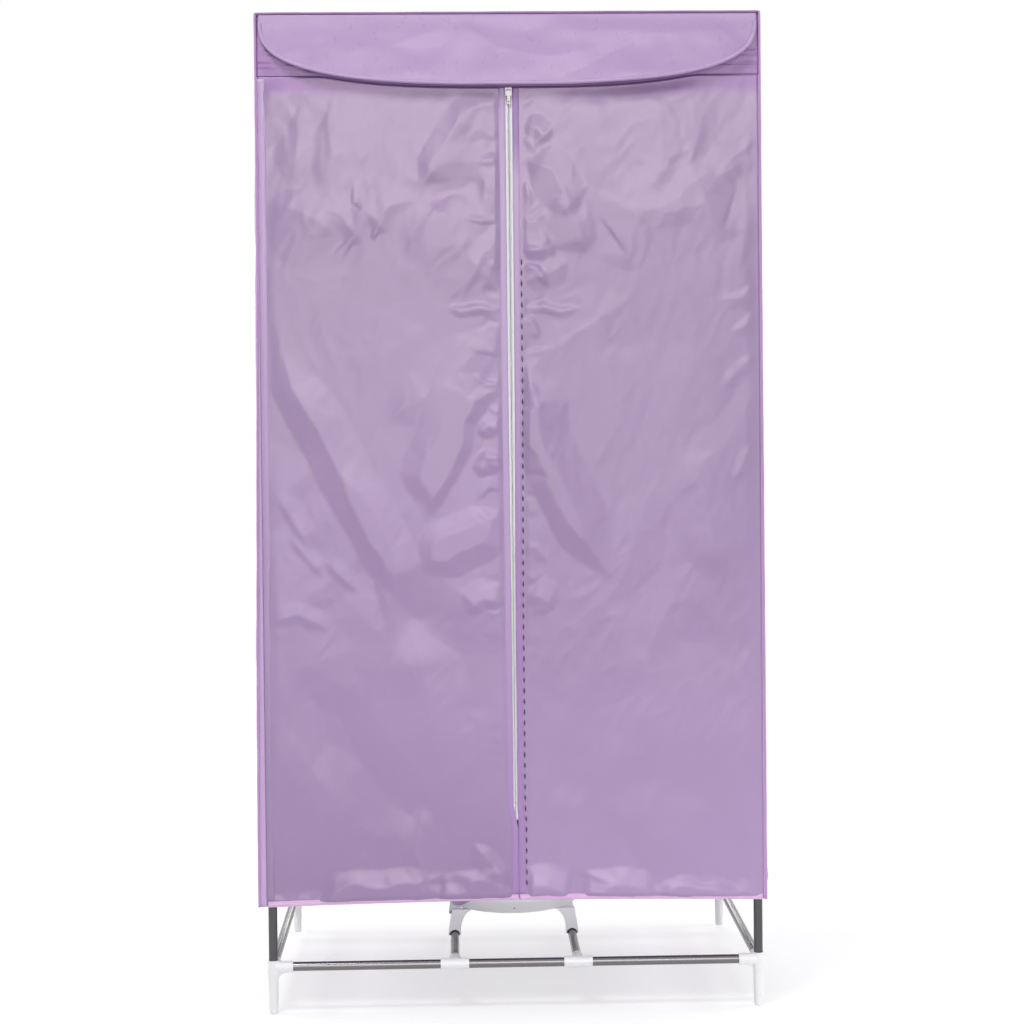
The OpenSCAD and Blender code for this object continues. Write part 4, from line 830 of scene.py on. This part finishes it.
def panel_height(t):
    """Heights from the hem to the header's top."""
    return HEM_LOW + HEM_LIFT + (HEADER_TOP - HEM_LOW - HEM_LIFT) * t


def panel_relief(across, z, seed):
    """Crinkled facets of a hanging panel: broad ones, small ones, and long creases that hang from
    the top, with the hem's gathers."""
    drapes = smooth((z - 0.55) / 0.5) * np.abs(noise(across * 7 + 0.7 * z, z * 0.9, seed + 6))
    broad = 0.0034 * facets(across, z, 0.110, seed, 0.3)
    small = 0.0017 * facets(across, z, 0.050, seed + 1, -0.4) + 0.0002 * crumple(across, z, 0.026, seed + 2)
    return broad + small + 0.0030 * drapes + hem_crumple(across, z, seed + 3)


def side_points(side):
    s, t = grid(int((BACK - FRONT) / SIDE_STEP), int((HEADER_TOP - HEM_LOW) / SIDE_STEP))
    y, z = FRONT + SEAM + (BACK - FRONT - 2 * SEAM) * s, panel_height(t)
    calm = smooth(s / 0.07) * smooth((1 - s) / 0.07) * smooth((1 - t) / 0.04) * smooth(t / 0.02)
    swell = 0.0026 + 0.0016 * np.sin(y * 22 + side * z * 2.4)
    out = calm * (swell + np.clip(panel_relief(y, z, 131 + side), -0.003, 0.0046))
    open_out = front_flare(z, side) * (1 - s) + flare(z, REAR_FLARE) * s
    return points_at(side * (SIDE + out + open_out), y, z)


def make_side(side):
    name = pick(side, "left", "right")
    piece = cloth(f"side_{name}_cloth", side_points(side), CLOTH_LOOK, "root", [f"cover_{name}_side"],
                  flip=side < 0)


def make_back():
    s, t = grid(int(2 * DOOR_SIDE / BACK_STEP), int((HEADER_TOP - HEM_LOW) / BACK_STEP), start=-1)
    z = panel_height(t)
    x = s * (SIDE - SEAM + flare(z, REAR_FLARE))
    calm = smooth((1 - np.abs(s)) / 0.08) * smooth((1 - t) / 0.05) * smooth(t / 0.02)
    swell = 0.0050 + 0.0014 * np.cos(x * 54 + z * 2.1)
    y = BACK + calm * (swell + np.clip(panel_relief(x, z, 171), -0.003, 0.004))
    piece = cloth("back_cloth", points_at(x, y, z), CLOTH_LOOK, "root", ["cover_back"])


def make_roof():
    wide, deep = 2 * (SIDE - SEAM), BACK - FRONT - 2 * SEAM
    s, t = grid(int(wide / ROOF_STEP), int(deep / ROOF_STEP))
    x, y = -wide / 2 + wide * s, FRONT + SEAM + deep * t
    border = np.minimum(np.minimum(s, 1 - s) * wide, np.minimum(t, 1 - t) * deep)
    relief = 0.0006 * crumple(x, y, 0.11, 201, stretch=1.0) + 0.0003 * crumple(x, y, 0.04, 202, stretch=1.0)
    z = ROOF - ROOF_SAG * smooth(border / 0.12) + relief * smooth(border / 0.02)
    piece = cloth("roof_cloth", points_at(x, y, z), CLOTH_LOOK, "root", ["cover_roof"])


make_side(-1)
make_side(1)
make_back()
make_roof()

# ------------------ Piping, hems, corner strips

ROOF_CORNER, ROOF_CORNER_POINTS, PIPING_STEP = 0.004, 7, 0.006


def piping(name, path, material, nodes=()):
    """Round cord covered in cloth, along a smooth path."""
    run = unit(np.gradient(path, axis=0))
    guide = np.where(np.abs(run[:, 2:]) > 0.9, np.array([[1.0, 0, 0]]), np.array([[0, 0, 1.0]]))
    side = unit(np.cross(run, guide))
    section = ring(PIPING_R, PIPING_SIDES)
    return sweep(name, path, section, side, np.cross(run, side), material, "root", nodes)


def joined(name, pieces, node):
    """One piece of trim from several meshes, in place of a CAD node."""
    bpy.ops.object.select_all(action="DESELECT")
    for piece in pieces:
        piece.select_set(True)
    bpy.context.view_layer.objects.active = pieces[0]
    bpy.ops.object.join()
    pieces[0].name = name
    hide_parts(node)


def make_corner_piping():
    z = np.linspace(HEM_LOW, HEADER_TOP + 0.001, 260)
    ups = []
    for side in (-1, 1):
        for y in (FRONT, BACK):
            open_out = front_flare(z, side) if y == FRONT else flare(z, REAR_FLARE)
            wave = 0.0004 * noise(z * 18, z * 0 + 3 * side, 61) * smooth((z - HEM_LOW) / 0.05)
            path = points_at(side * (SIDE + open_out) + wave, y + wave, z)
            ups.append(piping(f"up_{side}_{y:.2f}", path, TRIM_LOOK))
    joined("corner_piping_cloth", ups, "corner_piping")


def roof_outline():
    """Closed line round the roof, with four rounded corners."""
    points = []
    for cx, cy, start in ((SIDE, BACK, 0), (-SIDE, BACK, 90), (-SIDE, FRONT, 180), (SIDE, FRONT, 270)):
        for a in np.radians(start + np.linspace(0, 90, ROOF_CORNER_POINTS)):
            points.append((cx - math.copysign(ROOF_CORNER, cx) + ROOF_CORNER * math.cos(a),
                           cy - math.copysign(ROOF_CORNER, cy) + ROOF_CORNER * math.sin(a)))
    loop = []
    for (ax, ay), (bx, by) in zip(points, points[1:] + points[:1]):
        count = max(2, int(math.hypot(bx - ax, by - ay) / PIPING_STEP))
        loop += [(ax + (bx - ax) * k / count, ay + (by - ay) * k / count) for k in range(count)]
    return np.array(loop + loop[:1])


def make_roof_piping():
    x, y = roof_outline().T
    path = points_at(x, y, ROOF + 0.0003 * noise(x * 20, y * 20, 62))
    piping("roof_piping_cloth", path, ROOF_TRIM_LOOK, ["roof_piping"])


def make_cover_hem():
    y = np.linspace(FRONT + 0.003, BACK - 0.003, 90)
    s = (y - FRONT) / (BACK - FRONT)
    parts = []
    for side in (-1, 1):
        x = side * (SIDE + front_flare(HEM_LOW, side) * (1 - s) + flare(HEM_LOW, REAR_FLARE) * s)
        path = points_at(x + 0.0005 * wobble(y * 40, 71), y, HEM_LOW)
        parts.append(sweep(f"hem_{side}", path, HEM_SECTION, UP, (side, 0, 0), HEM_LOOK, "root"))
    reach = SIDE + REAR_FLARE - 0.003
    x = np.linspace(-reach, reach, 140)
    path = points_at(x, BACK + 0.0005 * wobble(x * 40, 72), HEM_LOW)
    parts.append(sweep("hem_back", path, HEM_SECTION, UP, (0, 1, 0), HEM_LOOK, "root"))
    joined("cover_hem_tape", parts, "cover_hem")


def make_corner_strips():
    """Narrow strips of the cover between the front piping and each door's hinge seam."""
    z = np.linspace(HEM_LOW + HEM_LIFT, DOOR_HIGH, 240)[:, None]
    s = np.linspace(0, 1, 7)[None, :]
    for side in (-1, 1):
        outer = SIDE + front_flare(z, side) - PIPING_R * 0.6
        inner = DOOR_SIDE + 0.0002
        x, y = side * (inner + (outer - inner) * s), FRONT + 0.0005 - 0.0012 * np.sin(np.pi * s)
        name = f"corner_{pick(side, 'left', 'right')}_strip"
        piece = cloth(name, points_at(x, y, z), CORNER_LOOK, "root", [], flip=side < 0)


make_corner_piping()
make_roof_piping()
make_cover_hem()
make_corner_strips()

# ------------------ Floor panel and heater cuff

FLOOR_HALF, FLOOR_FRONT, FLOOR_REAR = SIDE - 0.0016, FRONT + 0.0026, BACK - 0.0016
FLOOR_HOLE = CUFF_R - 0.008
# The cuff droops in one place, as in the photo: its direction, spread and depth
DROOP_ANGLE, DROOP_SPREAD, DROOP = math.radians(229), math.radians(15), 0.022
CUFF_HANG = 0.020


def make_floor():
    angles, shares = np.linspace(0, 2 * np.pi, 193), np.linspace(0, 1, 26)[:, None]
    c, s = np.cos(angles), np.sin(angles)
    reach = np.minimum(FLOOR_HALF / np.maximum(np.abs(c), 1e-9),
                       np.where(s > 0, FLOOR_REAR, -FLOOR_FRONT) / np.maximum(np.abs(s), 1e-9))
    r = FLOOR_HOLE + (reach - FLOOR_HOLE) * shares
    x, y = r * c, r * s
    calm = smooth(shares / 0.15) * smooth((1 - shares) / 0.12)
    z = FLOOR_Z + calm * (0.0012 * crumple(x, y, 0.09, 221, stretch=1.0) - 0.002)
    z = z + 0.0008 * np.sin(angles * 44) * smooth((0.22 - shares) / 0.22)
    piece = cloth("floor_cloth", points_at(x, y, z), CLOTH_LOOK, "root", ["cover_floor"])


def make_cuff():
    """Elastic cuff that is gathered round the heater's upper shell."""
    angles, t = np.linspace(0, 2 * np.pi, 385), np.linspace(0, 1, 16)[:, None]
    gather = np.sin(angles * 46 + 2.2 * wobble(angles * 3, 231))
    off = np.abs((angles - DROOP_ANGLE + np.pi) % (2 * np.pi) - np.pi)
    droop = DROOP * np.exp(-(off / DROOP_SPREAD) ** 2)
    low = FLOOR_Z - CUFF_HANG - droop
    z = low + (FLOOR_Z - low) * t
    belly = np.sin(np.pi * t) * (0.0016 + droop * 0.35)
    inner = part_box("heater_top")[1].x + 0.0014
    r = inner + (CUFF_R - 0.0070 - inner) * t ** 3 + belly + 0.0009 * (1 + gather) * (1 - 0.6 * t)
    points = points_at(r * np.cos(angles), r * np.sin(angles), z)
    piece = cloth("heater_cuff_cloth", points, CLOTH_LOOK, "root", ["heater_cuff"])


make_floor()
make_cuff()

# ------------------ Zip

COIL_PITCH, COIL_R = 0.0019, 0.00036
COIL_MIDDLE, COIL_WIDE, COIL_DEEP = 0.00105, 0.00062, 0.00050
CHAIN_Y = TAPE_Y - 0.0005
TAPE_EDGE = 0.00025


def coil_path(side, low, high):
    """Helix of a zip coil. The left one starts half a turn later, so that the two mesh."""
    turns = (high - low) / COIL_PITCH
    a = np.linspace(0, turns * 2 * np.pi, int(turns * 8) + 1)
    x = side * COIL_MIDDLE + side * COIL_WIDE * np.cos(a + pick(side, np.pi, 0))
    return points_at(x, CHAIN_Y - 0.0004 + COIL_DEEP * np.sin(a), low + a / (2 * np.pi) * COIL_PITCH)


def make_chain(side):
    """A zip tape with its coil, on its door."""
    name, body = pick(side, ("zip_left", "door_left"), ("zip_right", "door_right"))
    low, high = (end.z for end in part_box(name))
    z = np.linspace(ZIP_LOW, pick(side, ZIP_TOP, high), 330)
    half = (TAPE_W - TAPE_EDGE) / 2
    path = points_at(side * (TAPE_EDGE + half), CHAIN_Y + 0.0002, z)
    section = [(-half, -0.0003), (half, -0.0003), (half, 0.0003), (half * 0.3, 0.00042), (0, 0.0003),
               (-half * 0.3, 0.00042), (-half, 0.0003)]
    sweep(name + "_tape", path, section, (side, 0, 0), FORWARD, TAPE_LOOK, body, [name])
    line = coil_path(side, low, high)
    run = unit(np.gradient(line, axis=0))
    across = unit(np.cross(run, UP))
    sweep(name + "_coil", line, ring(COIL_R, COIL_SIDES), across, np.cross(run, across), COIL_LOOK, body)


make_chain(-1)
make_chain(1)

# ------------------ Floor, lights

STAGE_HALF = 9.0
FLOOR_COLOR, FLOOR_SHOWN, FLOOR_GLOW = 0.92, 0.47, 0.60
FADE_FROM, FADE_TO = 0.75, 2.3
WORLD_DIFFUSE = 0.40
WARM = (1, 0.94, 0.88)


def seen_ray(tree):
    """1 for rays from the camera, from reflections and through clear materials, else 0."""
    rays = tree.nodes.new("ShaderNodeLightPath").outputs
    first = combined(tree, "MAXIMUM", rays["Is Camera Ray"], rays["Is Glossy Ray"])
    return combined(tree, "MAXIMUM", first, rays["Is Transmission Ray"])


def make_stage():
    """Pale floor that keeps the shadow near the object and fades into the white round it."""
    material, tree, shader = new_material("pale_floor")
    radius = add_node(tree, "ShaderNodeVectorMath", "Value", {0: object_place(tree)}, operation="LENGTH")
    away = between(tree, radius, 0, 1, (FADE_FROM, FADE_TO), "SMOOTHSTEP")
    seen = seen_ray(tree)
    grey = between(tree, seen, FLOOR_COLOR, FLOOR_SHOWN, (0, 1))
    glow = between(tree, away, FLOOR_GLOW, 1.0, (0, 1))
    wire(tree, shader, {
        "Base Color": combined(tree, "MULTIPLY", grey, combined(tree, "SUBTRACT", 1.0, away)),
        "Emission Strength": combined(tree, "MULTIPLY", glow, seen),
        "Emission Color": (1, 1, 1, 1),
        "Roughness": 0.9,
        "Specular IOR Level": 0.0,
    })
    points = [(x * STAGE_HALF, y * STAGE_HALF, 0) for x, y in ((-1, -1), (1, -1), (1, 1), (-1, 1))]
    mesh_from("floor", points, [(0, 1, 2, 3)], material)


def make_world():
    world = bpy.data.worlds.new("world")
    bpy.context.scene.world = world
    world.use_nodes = True
    tree = world.node_tree
    strength = between(tree, seen_ray(tree), WORLD_DIFFUSE, 1.0, (0, 1))
    wire(tree, tree.nodes["Background"], {"Color": (1, 1, 1, 1), "Strength": strength})


def area_light(name, place, target, size, power, diffuse=True, glossy=True, color=(1, 1, 1)):
    data = bpy.data.lights.new(name, "AREA")
    data.shape = "RECTANGLE"
    data.size, data.size_y = size
    data.energy, data.color = power, color
    light = bpy.data.objects.new(name, data)
    light.location = place
    light.rotation_euler = (Vector(target) - Vector(place)).to_track_quat("-Z", "Y").to_euler()
    light.visible_diffuse, light.visible_glossy = diffuse, glossy
    bpy.context.scene.collection.objects.link(light)


def make_lights():
    """Sheen lamps show only in reflections and draw the creases. The fill, rear and side lamps
    give level light and show in none."""
    area_light("key", (-1.1, -1.7, 3.8), (0, 0, 0.8), (1.2, 0.7), 60)
    area_light("sheen_high", (0.1, -3.3, 1.93), (0.1, 0, 1.93), (2.2, 1.2), 36, diffuse=False, color=WARM)
    area_light("sheen_low", (-0.2, -3.3, 0.70), (-0.2, 0, 0.70), (2.0, 0.7), 13, diffuse=False, color=WARM)
    area_light("fill", (1.7, -3.0, 0.45), (0, -0.2, 0.4), (2.0, 0.8), 33, glossy=False)
    area_light("rear", (0.5, 2.8, 2.9), (0, 0, 0.7), (2.0, 1.2), 50, glossy=False)
    area_light("left", (-3.0, 0.5, 2.3), (0, 0.2, 0.8), (1.6, 1.2), 36, glossy=False)
    area_light("right", (3.0, 0.5, 2.3), (0, 0.2, 0.8), (1.6, 1.2), 36, glossy=False)
    area_light("left_sheen", (-3.4, 0, 1.50), (0, 0, 1.50), (1.8, 1.5), 32, diffuse=False)
    area_light("right_sheen", (3.4, 0, 1.50), (0, 0, 1.50), (1.8, 1.5), 32, diffuse=False)
    area_light("rear_sheen", (0, 3.4, 1.50), (0, 0, 1.50), (1.4, 1.5), 23, diffuse=False)


make_stage()
make_world()
make_lights()
bpy.context.scene.view_settings.view_transform = "Standard"
